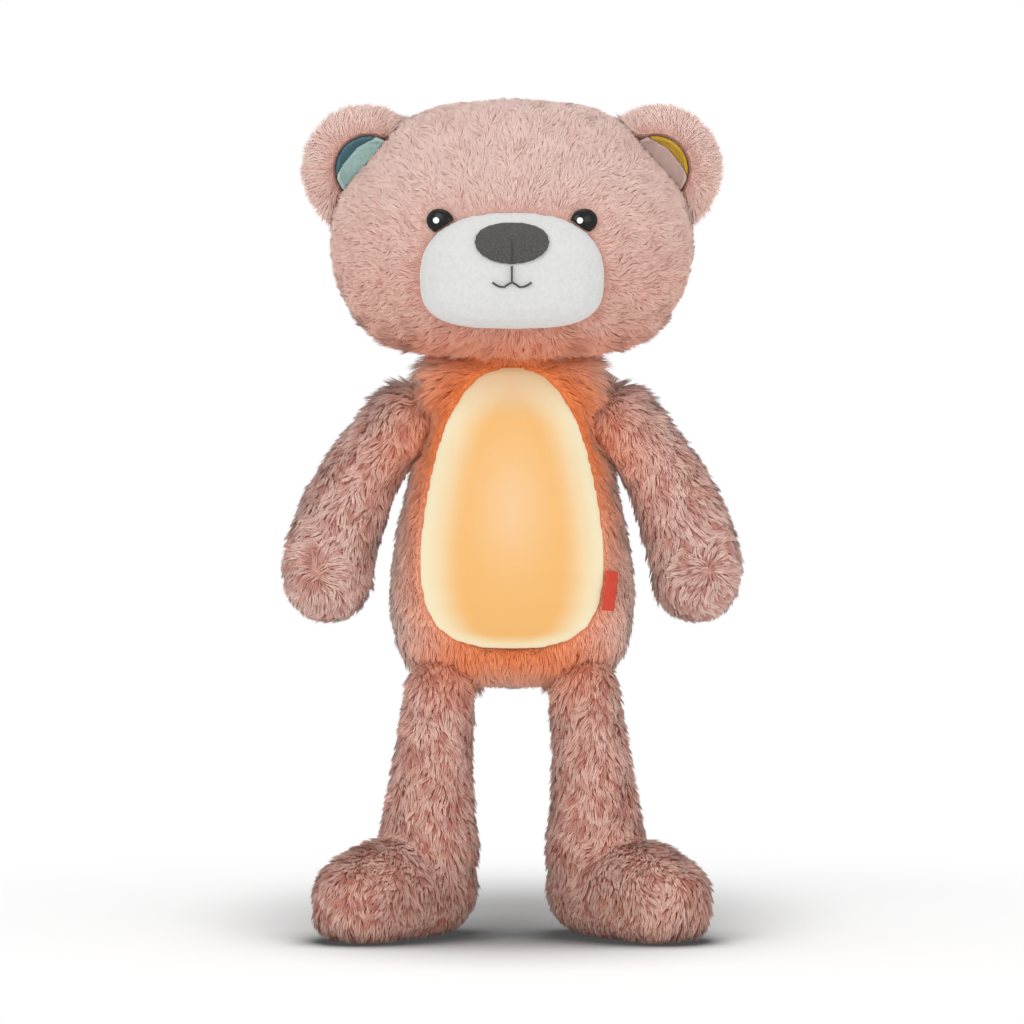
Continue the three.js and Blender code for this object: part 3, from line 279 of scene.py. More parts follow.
def backing_finish():
    """The knitted cloth that the pile grows from, in the roots' dark colours as painted shade."""
    finish = Finish("fur_backing", 0.9, Sheen_Weight=0.2)
    glow = finish.attribute("glow")
    shade = finish.mix(finish.attribute("warmth_and_shade"), PALE_ROOT, WARM_ROOT)
    mottling = finish.maths("MULTIPLY", finish.noise(4 * MM), 0.4)
    finish.colour(finish.mix(glow, finish.mix(mottling, shade, WARM_TIP), LIT_TIP))
    finish.emit(LIT_GLOW, finish.maths("MULTIPLY", glow, BACKING_GLOW))
    finish.bump(finish.weave(0.9 * MM), 0.2 * MM)
    return finish.material


def panel_finish():
    """A knit lit from behind: cream at its edge, amber inside, peach in the middle, and painted shadow under
    the chin.
    """
    finish = Finish("lit_knit", 0.7, Sheen_Weight=0.15)
    inside = finish.mix(finish.spread(finish.attribute("inside"), 0, 1), CREAM, AMBER)
    middle = finish.mix(finish.attribute("middle"), inside, PEACH)
    shade = finish.mix(finish.attribute("painted_chin_shadow"), middle, DUSK)
    knit = finish.weave(0.55 * MM)
    cloth = finish.mix(finish.maths("MULTIPLY", knit, 0.06), shade, DUSK)
    finish.colour(finish.mix(PANEL_DARKENING, cloth, BLACK))
    finish.emit(cloth, PANEL_GLOW)
    finish.bump(knit, 0.04 * MM, strength=0.5)
    return finish.material


def pile_cloth(name, low, high, bump=0.12 * MM):
    """Cloth with a short dense nap."""
    finish = Finish(name, 0.9, Sheen_Weight=0.35, Sheen_Roughness=0.6)
    finish.colour(finish.mix(finish.spread(finish.noise(1.6 * MM, detail=6), *NOISE_SPAN), low, high))
    finish.bump(finish.noise(0.45 * MM, detail=4), bump)
    return finish.material


def woven_cloth(name, low, high, pitch=0.5 * MM, axes="XZ"):
    """Plain woven cloth, with threads that show in its colour and its surface."""
    finish = Finish(name, 0.85, Sheen_Weight=0.15)
    weave = finish.weave(pitch, axes)
    finish.colour(finish.mix(finish.maths("MULTIPLY", weave, finish.noise(3 * MM)), low, high))
    finish.bump(weave, 0.08 * MM)
    return finish.material


def nose_finish():
    """Charcoal felt with a darker seam."""
    finish = Finish("nose_felt", 0.85, Sheen_Weight=0.25)
    fibres = finish.spread(finish.noise(0.9 * MM, detail=6), *NOISE_SPAN)
    felt = finish.mix(fibres, srgb(60, 58, 57), srgb(77, 75, 73))
    finish.colour(finish.mix(finish.attribute("seam"), felt, srgb(48, 46, 45)))
    finish.bump(finish.noise(0.4 * MM, detail=4), 0.1 * MM)
    return finish.material


def thread_finish():
    """Twisted sewing thread."""
    finish = Finish("mouth_thread", 0.7, Sheen_Weight=0.1)
    twist = finish.threads(0.5 * MM, "DIAGONAL")
    finish.colour(finish.mix(twist, srgb(44, 42, 41), srgb(78, 75, 72)))
    finish.bump(twist, 0.1 * MM)
    return finish.material


def hook_and_loop():
    """The dense small loops of a fastening tape."""
    finish = Finish("hook_and_loop", 0.8, Sheen_Weight=0.3)
    loops = finish.cells(0.7 * MM)
    finish.colour(finish.mix(finish.spread(loops, 0.1, 0.6), srgb(236, 229, 220), srgb(186, 176, 166)))
    finish.bump(loops, 0.3 * MM)
    return finish.material


def moulded(name, colour, roughness, **sockets):
    """Moulded plastic with a fine spark texture and a slight cloudiness."""
    finish = Finish(name, roughness, **sockets)
    clouds = finish.spread(finish.noise(12 * MM), 0.25, 0.75)
    finish.colour(finish.mix(clouds, darker(colour, 0.88), colour))
    finish.bump(finish.noise(0.3 * MM, detail=2), 0.015 * MM)
    return finish.material


def drawn_metal(name, colour, roughness):
    """Plated metal with fine lines from drawing or rolling."""
    finish = Finish(name, roughness, Metallic=1)
    lines = finish.noise(0.25 * MM, detail=5)
    finish.colour(finish.mix(finish.spread(lines, *NOISE_SPAN), darker(colour, 0.75), colour))
    finish.bump(lines, 0.01 * MM)
    return finish.material


def board_finish():
    """Green solder mask over copper tracks that run across and up the board."""
    finish = Finish("board_mask", 0.35, Coat_Weight=0.3)
    tracks = finish.spread(finish.weave(2.4 * MM), 0.86, 0.94)
    finish.colour(finish.mix(tracks, srgb(36, 104, 62), srgb(58, 138, 84)))
    finish.bump(tracks, 0.04 * MM)
    return finish.material


FINISHES = {
    "white_plush": pile_cloth("white_nap", srgb(202, 202, 201), srgb(209, 209, 208)),
    "charcoal_felt": nose_finish(),
    "black_thread": thread_finish(),
    "eye_black": moulded("eye_gloss", srgb(24, 24, 23), 0.2, Specular_IOR_Level=0.2),
    "eye_white": moulded("eye_glint", srgb(244, 244, 244), 0.25),
    "lit_cloth": panel_finish(),
    "aqua_cloth": woven_cloth("aqua_weave", srgb(172, 210, 205), srgb(204, 233, 228)),
    "teal_cloth": woven_cloth("teal_weave", srgb(58, 102, 117), srgb(92, 138, 150)),
    "rose_cloth": woven_cloth("rose_weave", srgb(196, 168, 160), srgb(222, 196, 188)),
    "yellow_cloth": woven_cloth("yellow_weave", srgb(190, 150, 22), srgb(216, 180, 52)),
    "red_tape": woven_cloth("red_tape_weave", srgb(200, 52, 28), srgb(224, 78, 50), 0.35 * MM, "YZ"),
    "lining_cloth": woven_cloth("lining_weave", srgb(222, 213, 203), srgb(240, 234, 226)),
    "hook_loop": hook_and_loop(),
    "white_plastic": moulded("white_shell", srgb(233, 232, 228), 0.45),
    "opal_plastic": moulded("opal_shell", srgb(248, 242, 230), 0.5, Subsurface_Weight=0.3),
    "led_plastic": moulded("led_resin", srgb(244, 226, 160), 0.2, Coat_Weight=0.4),
    "dark_plastic": moulded("dark_shell", srgb(48, 48, 50), 0.5),
    "board_green": board_finish(),
    "spring_steel": drawn_metal("nickel_steel", srgb(218, 219, 222), 0.3),
    "cell_wrap": moulded("cell_sleeve", srgb(126, 139, 147), 0.35, Metallic=0.6),
    "magnet_iron": drawn_metal("magnet_plate", srgb(120, 120, 123), 0.45),
    "paper_cone": pile_cloth("cone_paper", srgb(50, 50, 50), srgb(68, 67, 66), 0.05 * MM),
}
FUR = fur_finish()
BACKING = backing_finish()
SLOT_OF = {part["node"]: part["material_slot"] for part in frame["record"]["subparts"]}
BODY_OF = {node: piece["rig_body"] for node, piece in cad.items()}


def dress_in(piece, material):
    piece.data.materials.clear()
    piece.data.materials.append(material)


for node, slot in SLOT_OF.items():
    if slot in FINISHES:
        dress_in(cad[node], FINISHES[slot])


# Values over the points of a mesh

TINY = 1e-9
WAVES = 7
WAVE_RANGE = (0.6, 1.5)

# How much of a normal points some way, from where a face starts to count as facing it to where it fully does
FACING = (0.2, 0.6)
FACING_STRAIGHT = (0.6, 0.9)


def read_points(mesh):
    points = np.empty(len(mesh.vertices) * 3)
    mesh.vertices.foreach_get("co", points)
    return points.reshape(-1, 3)


def write_points(mesh, points):
    mesh.vertices.foreach_set("co", points.ravel())
    mesh.update()


def write_values(mesh, name, values):
    layer = mesh.attributes.new(name, "FLOAT", "POINT")
    layer.data.foreach_set("value", np.asarray(values, np.float32))


def rising(values, low, high):
    """0 up to low and 1 from high on."""
    return np.clip((values - low) / (high - low), 0, 1)


def falling(values, low, high):
    """1 up to low and 0 from high on."""
    return np.clip((high - values) / (high - low), 0, 1)


def toward(first, second, share):
    """The value that lies the given share of the way from the first to the second."""
    return first + (second - first) * share


def unit(vectors):
    return vectors / np.maximum(np.linalg.norm(vectors, axis=-1, keepdims=True), TINY)


def facing_down(normals):
    return rising(-normals[:, 2], *FACING_STRAIGHT)


def wander(points, size, seed):
    """Smooth values of about -1 to 1 that change over the given distance."""
    rng = np.random.default_rng(seed)
    waves = unit(rng.normal(size=(WAVES, 3))) * rng.uniform(*WAVE_RANGE, (WAVES, 1)) * math.pi / size
    phases = rng.uniform(0, 2 * math.pi, WAVES)
    return np.sin(points @ waves.T + phases).sum(axis=1) / math.sqrt(WAVES)


def search_tree(pieces):
    """One search tree over several pieces."""
    corners = []
    faces = []
    for piece in pieces:
        first = len(corners)
        corners += [corner.co.copy() for corner in piece.data.vertices]
        faces += [[first + index for index in face.vertices] for face in piece.data.polygons]
    return BVHTree.FromPolygons(corners, faces)


def nearest(tree, points, reach):
    """For each point, the vector from the tree's nearest point, and its length of at most the reach."""
    away = np.zeros_like(points)
    distance = np.full(len(points), reach)
    for index, point in enumerate(points):
        place, _, _, length = tree.find_nearest(Vector(point), reach)
        if place is not None:
            away[index] = point - np.array(place)
            distance[index] = length
    return away, distance


# Cloth and stuffed pieces, each worked up from the solid that it stands for

# What chance gives each piece follows from its seed, so every run is alike
SEEDS = {
    "torso": 1, "head": 2, "ear_left": 10, "arm_left": 13, "leg_left": 16, "ear_right": 20, "arm_right": 23,
    "leg_right": 26, "back_flap": 30, "neck": 31, "pocket_liner": 40, "hook_strip": 41, "loop_strip": 42,
}
CREASE_SIZE = 9 * MM


def stand_in(node, modifiers):
    """A copy of a CAD node with these modifiers applied, that stands for the node."""
    piece = bpy.data.objects.new("soft_" + node, cad[node].data.copy())
    scene.collection.objects.link(piece)
    for kind, settings in modifiers:
        modifier = piece.modifiers.new(kind.lower(), kind)
        for name, value in settings.items():
            setattr(modifier, name, value)
    graph = bpy.context.evaluated_depsgraph_get()
    mesh = bpy.data.meshes.new_from_object(piece.evaluated_get(graph))
    piece.modifiers.clear()
    piece.data = mesh
    mesh.name = piece.name
    mesh.shade_smooth()
    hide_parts(node)
    return piece


def stuffed(node, voxel, rounds, inset=0.0):
    """A finely meshed and smoothed copy of a CAD node, drawn in by the inset."""
    return stand_in(node, [
        ("REMESH", {"mode": "VOXEL", "voxel_size": voxel}),
        ("SMOOTH", {"iterations": rounds}),
        ("DISPLACE", {"strength": -inset, "mid_level": 0}),
    ])


def creased(node, cuts, amount):
    """A finely divided copy of a CAD node of thin cloth, slightly uneven."""
    division = {"subdivision_type": "SIMPLE", "levels": cuts, "render_levels": cuts}
    piece = stand_in(node, [("SUBSURF", division)])
    points = read_points(piece.data)
    middle = (points.min(axis=0) + points.max(axis=0)) / 2
    ripple = wander(points, CREASE_SIZE, SEEDS[node])[:, None] * amount
    write_points(piece.data, points - unit(points - middle) * (amount + ripple) / 2)
    return piece


# Face

# The pieces without fur, by the node that each stands for
bare = {}
SEAM_WIDTH = 0.45 * MM
SEAM_DEPTH = 0.5 * MM
SEAM_FADE = 3 * MM


def dressed(node, voxel, rounds, inset=0.0):
    """A smooth cloth or gloss piece without fur that stands for a CAD node."""
    piece = stuffed(node, voxel, rounds, inset)
    dress_in(piece, FINISHES[SLOT_OF[node]])
    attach(piece, BODY_OF[node])
    bare[node] = piece
    return piece


def add_nose():
    """The nose pad, with a seam drawn in from its middle down to the mouth."""
    nose = dressed("nose", voxel=0.55 * MM, rounds=6)
    low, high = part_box("nose")
    points = read_points(nose.data)
    middle = (low.z + high.z) / 2
    across = np.exp(-(points[:, 0] / SEAM_WIDTH) ** 2)
    lower = falling(points[:, 2], middle, middle + SEAM_FADE)
    front = falling(points[:, 1], toward(low.y, high.y, 0.25), toward(low.y, high.y, 0.5))
    seam = across * lower * front
    points[:, 1] += seam * SEAM_DEPTH
    write_points(nose.data, points)
    write_values(nose.data, "seam", seam)


dressed("muzzle", voxel=1.1 * MM, rounds=10)
add_nose()
for side in ("left", "right"):
    dressed(f"eye_{side}", voxel=0.35 * MM, rounds=5)
    dressed(f"ear_lining_{side}", voxel=0.5 * MM, rounds=4, inset=-0.2 * MM)
    dressed(f"ear_accent_{side}", voxel=0.5 * MM, rounds=4, inset=-0.2 * MM)


# Belly panel and its tag

SIDE_FADE = 18 * MM
TOP_FADE = 22 * MM
BOTTOM_FADE = 7 * MM
PEACH_RAISE = 2 * MM
PEACH_WIDTH = 13 * MM
PEACH_HEIGHT = 24 * MM
# The chin's painted shadow over the top of the panel: how far down it reaches and how dark it is
CHIN_SHADOW = 22 * MM
CHIN_DARKNESS = 0.85
LEVELS = 40


def add_panel():
    """The lit panel, with the values that its colour follows."""
    panel = dressed("belly_panel", voxel=1.2 * MM, rounds=6)
    low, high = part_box("belly_panel")
    points = read_points(panel.data)
    across = np.abs(points[:, 0])
    height = points[:, 2]
    levels = np.linspace(low.z, high.z, LEVELS)
    nearest_level = np.abs(height[:, None] - levels).argmin(axis=1)
    halves = [across[nearest_level == level].max() for level in range(LEVELS)]
    sides = (np.interp(height, levels, halves) - across) / SIDE_FADE
    ends = np.minimum((high.z - height) / TOP_FADE, (height - low.z) / BOTTOM_FADE)
    middle = (low.z + high.z) / 2 + PEACH_RAISE
    oval = (across / PEACH_WIDTH) ** 2 + ((height - middle) / PEACH_HEIGHT) ** 2
    write_values(panel.data, "inside", np.clip(sides, 0, 1) * np.clip(ends, 0, 1))
    write_values(panel.data, "middle", np.exp(-oval))
    write_values(panel.data, "painted_chin_shadow", CHIN_DARKNESS * rising(height, high.z - CHIN_SHADOW, high.z))


add_panel()
dressed("side_tag", voxel=0.3 * MM, rounds=2)


# Light that the panel throws on the fur round it

panel_tree = search_tree([bare["belly_panel"]])
GLOW_REACH = 32 * MM
GLOW_CURVE = 1.5
GLOW_DEPTH = 20 * MM

# How strongly and how far it shines beside the panel and at its ends. Shares are of the panel's height
SIDE_GLOW = 0.55
SIDE_GLOW_FADE = 12 * MM
END_GLOW = 0.92
END_GLOW_FADE = 18 * MM
UPPER_SHARES = (0.3, 0.7)
LOWER_SHARES = (-0.02, 0.08)

# What reaches the fur under the chin
CHIN_GLOW = 0.6
CHIN_WIDTH = 56 * MM
CHIN_TOP = 252 * MM
CHIN_FADE = 12 * MM


def glow_at(points):
    """How much of the panel's light reaches each point: most beside its upper half and just below it."""
    _, distance = nearest(panel_tree, points, GLOW_REACH)
    low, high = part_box("belly_panel")
    height = (points[:, 2] - low.z) / (high.z - low.z)
    ends = np.maximum(rising(height, *UPPER_SHARES), falling(height, *LOWER_SHARES))
    fade = toward(SIDE_GLOW_FADE, END_GLOW_FADE, ends)
    near = toward(SIDE_GLOW, END_GLOW, ends) * np.exp(-(distance / fade) ** GLOW_CURVE)
    chin = np.exp(-(points[:, 0] / CHIN_WIDTH) ** 2) * falling(points[:, 2], CHIN_TOP - CHIN_FADE, CHIN_TOP)
    above = CHIN_GLOW * chin * (points[:, 2] > high.z)
    return np.maximum(near, above) * falling(points[:, 1], 0, GLOW_DEPTH)


# Where fur grows

bare_tree = search_tree(bare.values())
tape_tree = search_tree([cad["loop_strip"]])
COVER = 1.1 * MM
TAPE_ROOM = 3.2 * MM
STRAND_FALL = np.array((0, 0, -2.5 * MM))
FLAP_OUTSIDE = 0.1
CLUMP_STRANDS = 8


def scatter(mesh, density, rng):
    """Points spread evenly over a mesh, with their normals."""
    mesh.calc_loop_triangles()
    corners = np.empty(len(mesh.loop_triangles) * 3, np.int32)
    mesh.loop_triangles.foreach_get("vertices", corners)
    corners = corners.reshape(-1, 3)
    directions = np.empty(len(mesh.vertices) * 3)
    mesh.vertices.foreach_get("normal", directions)
    directions = directions.reshape(-1, 3)
    places = read_points(mesh)[corners]
    areas = np.linalg.norm(np.cross(places[:, 1] - places[:, 0], places[:, 2] - places[:, 0]), axis=1) / 2
    count = int(areas.sum() * density)
    marks = (np.arange(count) + rng.random(count)) / count * areas.sum()
    chosen = np.minimum(np.searchsorted(np.cumsum(areas), marks), len(areas) - 1)
    first, second = rng.random((2, count))
    over = first + second > 1
    first[over], second[over] = 1 - first[over], 1 - second[over]
    shares = np.stack((1 - first - second, first, second), axis=1)[:, :, None]
    return (places[chosen] * shares).sum(axis=1), unit((directions[corners[chosen]] * shares).sum(axis=1))


def in_the_open(tree, roots, normals):
    """Which roots have nothing of the tree just over them."""
    return np.array([
        tree.ray_cast(Vector(root), Vector(normal), COVER)[0] is None
        for root, normal in zip(roots, normals)
    ])


def everywhere(roots, normals):
    return np.ones(len(roots), bool)


def off_the_tape(roots, normals):
    """Leaves out the strands that would lie on the loop tape."""
    return nearest(tape_tree, roots + STRAND_FALL, TAPE_ROOM)[1] >= TAPE_ROOM


def outside_only(roots, normals):
    """Leaves out the strands on the inner face of the back flap."""
    return normals[:, 1] > FLAP_OUTSIDE


def gather(roots, rng):
    """Clumps of neighbouring strands: which root leads each, and which clump each root is in."""
    leaders = rng.choice(len(roots), len(roots) // CLUMP_STRANDS, replace=False)
    tree = kdtree.KDTree(len(leaders))
    for index, leader in enumerate(leaders):
        tree.insert(Vector(roots[leader]), index)
    tree.balance()
    return leaders, np.array([tree.find(Vector(root))[1] for root in roots])


# Strands: closed meshes with a triangular section, that bend over and end in a point

# Places along a strand, as shares of its length, and how thick it is at each but the last
STATIONS = np.array([0, 0.45, 1])
THICKNESS = np.array([0.9, 1])

# Where the corners lie round it, how flat it is, and how much its shading follows the cloth under it
ROLL = np.radians([90, 210, 330])
FLATNESS = 0.8
SOFTNESS = 0.7

ROOT_DEPTH = 0.6 * MM
CURL = 0.16
CURL_TURNS = 1.2
FLOOR = 0.2 * MM
CAP_DEPTH = 0.06
BAKE_MARGIN = 0.1
PIECE_STRANDS = 19000


@dataclass
class Pile:
    """How fur grows on one part. Angles are in degrees, and density is in strands to a square metre.

    A strand starts at the angle rise and ends at the angle lie. It swings aside with the patch that it is
    in, and its clump pulls it in and gives it more or less lift. At a joint it leans toward the neighbour,
    or away from it where lean is below zero. Contrast darkens clumps, and roots with painted shade. The edge
    shade paints shade on the edge round a bare piece, and the warm shade paints shade on the warm parts,
    or light on them where it is below zero.
    """
    length: float
    width: float
    density: float
    swing: float
    patch: float
    contrast: float
    pull: float
    rise: float = 54
    lie: float = 6
    lift: float = 0.5
    lean: float = 0.9
    ring: float = 0
    warm_shade: float = 0


# Edge shade paints shade beside bare pieces on the face and ears. Warm shade paints the face darker where it
# is warm, and paints the limbs and trunk lighter there
LIMB = Pile(length=5.6 * MM, width=0.42 * MM, density=2.6e6, swing=28, patch=7 * MM, contrast=1.3,
            rise=60, pull=0.45, lean=-0.7, warm_shade=-0.1)
TRUNK = Pile(length=5.4 * MM, width=0.44 * MM, density=2.3e6, swing=28, patch=7 * MM, contrast=0.6,
             pull=0.4, lean=1.2, warm_shade=-0.32)
FACE = Pile(length=4.4 * MM, width=0.38 * MM, density=3e6, swing=34, patch=7 * MM, contrast=0.45,
            rise=47, pull=0.3, lift=0.4, ring=0.4, warm_shade=0.3)
EAR = Pile(length=4.4 * MM, width=0.38 * MM, density=3e6, swing=20, patch=8 * MM, contrast=0.4,
           rise=45, pull=0.15, lift=0.3, ring=1)


def turned(directions, normals, angles):
    """Each direction, turned about its normal."""
    angles = angles[:, None]
    return directions * np.cos(angles) + np.cross(normals, directions) * np.sin(angles)


def centre_lines(roots, normals, directions, lengths, lifts, pile, rng):
    """Each strand's path, at every station: it rises from its root and bends over to lie along the part."""
    side = np.cross(normals, directions)
    curl = rng.uniform(-CURL, CURL, len(roots))
    lines = [roots - normals * ROOT_DEPTH]
    for start, end in zip(STATIONS[:-1], STATIONS[1:]):
        lean = np.radians(toward(pile.rise, pile.lie, (start + end) / 2)) * lifts
        step = directions * np.cos(lean)[:, None] + normals * np.sin(lean)[:, None]
        bend = side * (curl * math.cos(2 * math.pi * CURL_TURNS * end))[:, None]
        lines.append(lines[-1] + (step + bend) * (lengths * (end - start))[:, None])
    return np.array(lines)


def strand_corners(lines, normals, widths):
    """Three corners round each station but the last, and the tip, with a shading normal at each."""
    tangents = unit(np.gradient(lines, axis=0))
    corners = []
    shading = []
    for station, thickness in enumerate(THICKNESS):
        side = unit(np.cross(tangents[station], normals))
        up = np.cross(tangents[station], side)
        radius = (widths * thickness / math.sqrt(3))[:, None]
        for roll in ROLL:
            outward = side * math.cos(roll) + up * math.sin(roll) * FLATNESS
            corners.append(lines[station] + radius * outward)
            shading.append(unit(normals * SOFTNESS + outward * (1 - SOFTNESS)))
    corners = np.stack([*corners, lines[-1]], axis=1)
    corners[..., 2] = np.maximum(corners[..., 2], FLOOR)
    return corners, np.stack([*shading, normals], axis=1)


def strand_faces():
    """The faces of one strand: a cap at the root, a band of sides and the long point."""
    sides = ((0, 1), (1, 2), (2, 0))
    return [(2, 1, 0)] + [(a, b, b + 3, a + 3) for a, b in sides] + [(3 + a, 3 + b, 6) for a, b in sides]


FACES = strand_faces()
LOOPS = np.array([corner for face in FACES for corner in face])
STARTS = np.cumsum([0] + [len(face) for face in FACES[:-1]])
ALONG = np.append(np.repeat(STATIONS[:-1], 3), 1)
BAKE_ACROSS = np.append(np.tile([0, 0.5, 1], len(THICKNESS)), 0.5)[LOOPS]
BAKE_ALONG = ALONG[LOOPS] - CAP_DEPTH * (np.arange(len(LOOPS)) == 1)


def strand_mesh(name, corners, shading, values):
    """One mesh of closed strands, with values that its material reads and a bake square to each strand."""
    count, per_strand = corners.shape[:2]
    mesh = bpy.data.meshes.new(name)
    mesh.vertices.add(count * per_strand)
    mesh.vertices.foreach_set("co", corners.ravel())
    order = np.arange(count)[:, None]
    mesh.loops.add(count * len(LOOPS))
    mesh.loops.foreach_set("vertex_index", (LOOPS + order * per_strand).ravel())
    mesh.polygons.add(count * len(FACES))
    mesh.polygons.foreach_set("loop_start", (STARTS + order * len(LOOPS)).ravel())
    mesh.update(calc_edges=True)
    mesh.shade_smooth()
    layer = mesh.attributes.new("custom_normal", "FLOAT_VECTOR", "POINT")
    layer.data.foreach_set("vector", shading.astype(np.float32).ravel())
    for value_name, corner_values in values.items():
        write_values(mesh, value_name, corner_values.ravel())
    across = math.ceil(math.sqrt(count))
    squares = np.stack((order[:, 0] % across, order[:, 0] // across), axis=1)
    inside = toward(BAKE_MARGIN, 1 - BAKE_MARGIN, np.stack((BAKE_ACROSS, BAKE_ALONG), axis=1))
    layer = mesh.uv_layers.new(name="OFBake")
    layer.data.foreach_set("uv", ((squares[:, None] + inside) / across).astype(np.float32).ravel())
    return mesh


def fur_pieces(node, corners, shading, values, order):
    """The strands as pieces of a limited size, shared out in the given order."""
    pieces = []
    for chosen in np.array_split(order, math.ceil(len(order) / PIECE_STRANDS)):
        name = f"fur_{node}_{len(pieces) + 1}"
        own_values = {key: value[chosen] for key, value in values.items()}
        mesh = strand_mesh(name, corners[chosen], shading[chosen], own_values)
        mesh.materials.append(FUR)
        pieces.append(bpy.data.objects.new(name, mesh))
        scene.collection.objects.link(pieces[-1])
    return pieces


# Growth: how the strands give way to what is near them, and how they vary

# Beside a bare piece they are shorter and pushed aside, and at a joint they follow the pile's lean
BARE_REACH = 8 * MM
JOINT_REACH = 9 * MM
CLOSE = 3 * MM
PUSH = 0.4
CROWDED_LENGTH = 0.5
CROWDED_LIFT = 0.4
FRINGE_LIFT = 0.4

# The least shares of swing, length and lift that are left beside a bare piece
LEAST_SWING = 0.25
LEAST_LENGTH = 0.55
LEAST_LIFT = 0.7

# Under the sole they are pressed flat
SOLE_LOW = 1 * MM
SOLE_TOP = 4 * MM
PRESSED = 0.75

# How much strands and clumps differ, in degrees and in shares
JITTER = 8
UNEVEN = (0.9, 1.1)
CLUMP_LENGTHS = (0.84, 1.16)
WIDTHS = (0.75, 1.2)
PULL_CURVE = 1.4

# How dark a strand is: by its clump, by itself, by the patch that it is in, and toward its root, which is
# painted shade. Where parts crowd at a joint, painted light makes it lighter over their shade
CLUMP_TONE = 0.8
CLUMP_CURVE = 5
STRAND_TONE = 0.15
PATCH_TONE = 0.12
PATCH_SIZE = 5 * MM
ROOT_SHADE = 0.85
ROOT_CURVE = 1.2
CROWDED_SHADE = 0.6


def even(points, normals):
    """Fur of the same length all over."""
    return np.ones(len(points))


def strand_values(roots, pile, warmth_and_shade, tone, crowded, beside):
    """What the fur's material reads at each corner: how dark, with its painted shade and light, how warm,
    and how lit by the panel.
    """
    # Painted shade round bare pieces and on the warm parts. Where the warm shade is below zero it is painted
    # light
    ring = pile.ring * beside
    painted_shading = ring + pile.warm_shade * warmth_and_shade(roots)
    root_shade = ROOT_SHADE * (1 - ALONG) ** ROOT_CURVE
    shade = pile.contrast * (tone[:, None] + root_shade) * (1 - CROWDED_SHADE * crowded)[:, None]
    steady = np.ones(len(ALONG))
    return {
        "shade": np.clip(shade + painted_shading[:, None], 0, 1),
        "warmth_and_shade": np.maximum(warmth_and_shade(roots), ring)[:, None] * steady,
        "glow": glow_at(roots)[:, None] * steady,
    }


def grow(skin, node, pile, comb, warmth_and_shade, where=everywhere, fringe=even):
    """Covers a stuffed piece with strands. The fringe gives how much longer they are at each place."""
    seed = SEEDS[node]
    rng = np.random.default_rng(seed)
    others = search_tree([piece for name, piece in cad.items() if name != node and name not in bare])
    roots, normals = scatter(skin.data, pile.density, rng)
    kept = in_the_open(others, roots, normals) & in_the_open(bare_tree, roots, normals)
    kept &= where(roots, normals)
    roots, normals = roots[kept], normals[kept]
    count = len(roots)
    leaders, clump = gather(roots, rng)
    clump_turn, clump_lift, clump_tone, clump_reach = rng.random((4, len(leaders)))[:, clump]
    away, distance = nearest(bare_tree, roots, BARE_REACH)
    apart, gap = nearest(others, roots, JOINT_REACH)
    crowded = np.exp(-gap / CLOSE) - np.exp(-JOINT_REACH / CLOSE)
    beside = np.exp(-distance / CLOSE)

    push = unit(away) * (PUSH * beside ** 2)[:, None] - unit(apart) * (pile.lean * crowded)[:, None]
    flow = comb(roots, normals) + push
    directions = unit(flow - normals * np.sum(flow * normals, axis=1, keepdims=True))
    swing = wander(roots, pile.patch, seed + 1) * np.clip(distance / BARE_REACH, LEAST_SWING, 1)
    angles = pile.swing * (swing + clump_turn - 0.5) + rng.normal(0, JITTER, count)
    directions = turned(directions, normals, np.radians(angles))

    longer = fringe(roots, normals)
    shorter = np.clip((distance + CLOSE) / BARE_REACH, LEAST_LENGTH, 1)
    lengths = pile.length * shorter * toward(*CLUMP_LENGTHS, clump_reach) * rng.uniform(*UNEVEN, count)
    lengths *= longer * (1 + CROWDED_LENGTH * pile.lean * crowded)
    lifts = (1 + pile.lift * (clump_lift - 0.5)) * rng.uniform(*UNEVEN, count)
    lifts *= np.clip(shorter, LEAST_LIFT, 1) * (1 + FRINGE_LIFT * (longer - 1))
    lifts *= 1 + CROWDED_LIFT * pile.lean * crowded
    lifts *= 1 - PRESSED * facing_down(normals) * falling(roots[:, 2], SOLE_LOW, SOLE_TOP)

    lines = centre_lines(roots, normals, directions, lengths, lifts, pile, rng)
    pulls = pile.pull * (STATIONS ** PULL_CURVE)[:, None, None]
    lines += (lines[:, leaders[clump]] - lines) * pulls
    corners, shading = strand_corners(lines, normals, pile.width * rng.uniform(*WIDTHS, count))
    tone = CLUMP_TONE * clump_tone ** CLUMP_CURVE + STRAND_TONE * rng.random(count)
    tone += PATCH_TONE * wander(roots, PATCH_SIZE, seed + 2)
    values = strand_values(roots, pile, warmth_and_shade, tone, crowded, beside)
    return fur_pieces(node, corners, shading, values, rng.permutation(count))


def ride_along(node, pieces):
    for piece in pieces:
        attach(piece, BODY_OF[node])


def backing(node, warmth_and_shade, voxel=2.2 * MM, rounds=8, inset=1.1 * MM):
    """The stuffed cloth form under the fur."""
    skin = stuffed(node, voxel, rounds, inset)
    points = read_points(skin.data)
    write_values(skin.data, "glow", glow_at(points))
    write_values(skin.data, "warmth_and_shade", warmth_and_shade(points))
    dress_in(skin, BACKING)
    return skin


def cover(node, pile, comb, warmth_and_shade, where=everywhere, fringe=even, **form):
    """Dresses a stuffed node in backing cloth and fur that move as it does."""
    skin = backing(node, warmth_and_shade, **form)
    ride_along(node, [*grow(skin, node, pile, comb, warmth_and_shade, where, fringe), skin])


# How the fur is combed, and where it is longer or shorter. Levels are heights above the floor

DOWN = np.array((0.0, 0.0, -1.0))
SIDEWAYS = np.array((1, 1, 0))


def comb_down(points, normals):
    return np.tile(DOWN, (len(points), 1))


NECK_FALL = 0.6


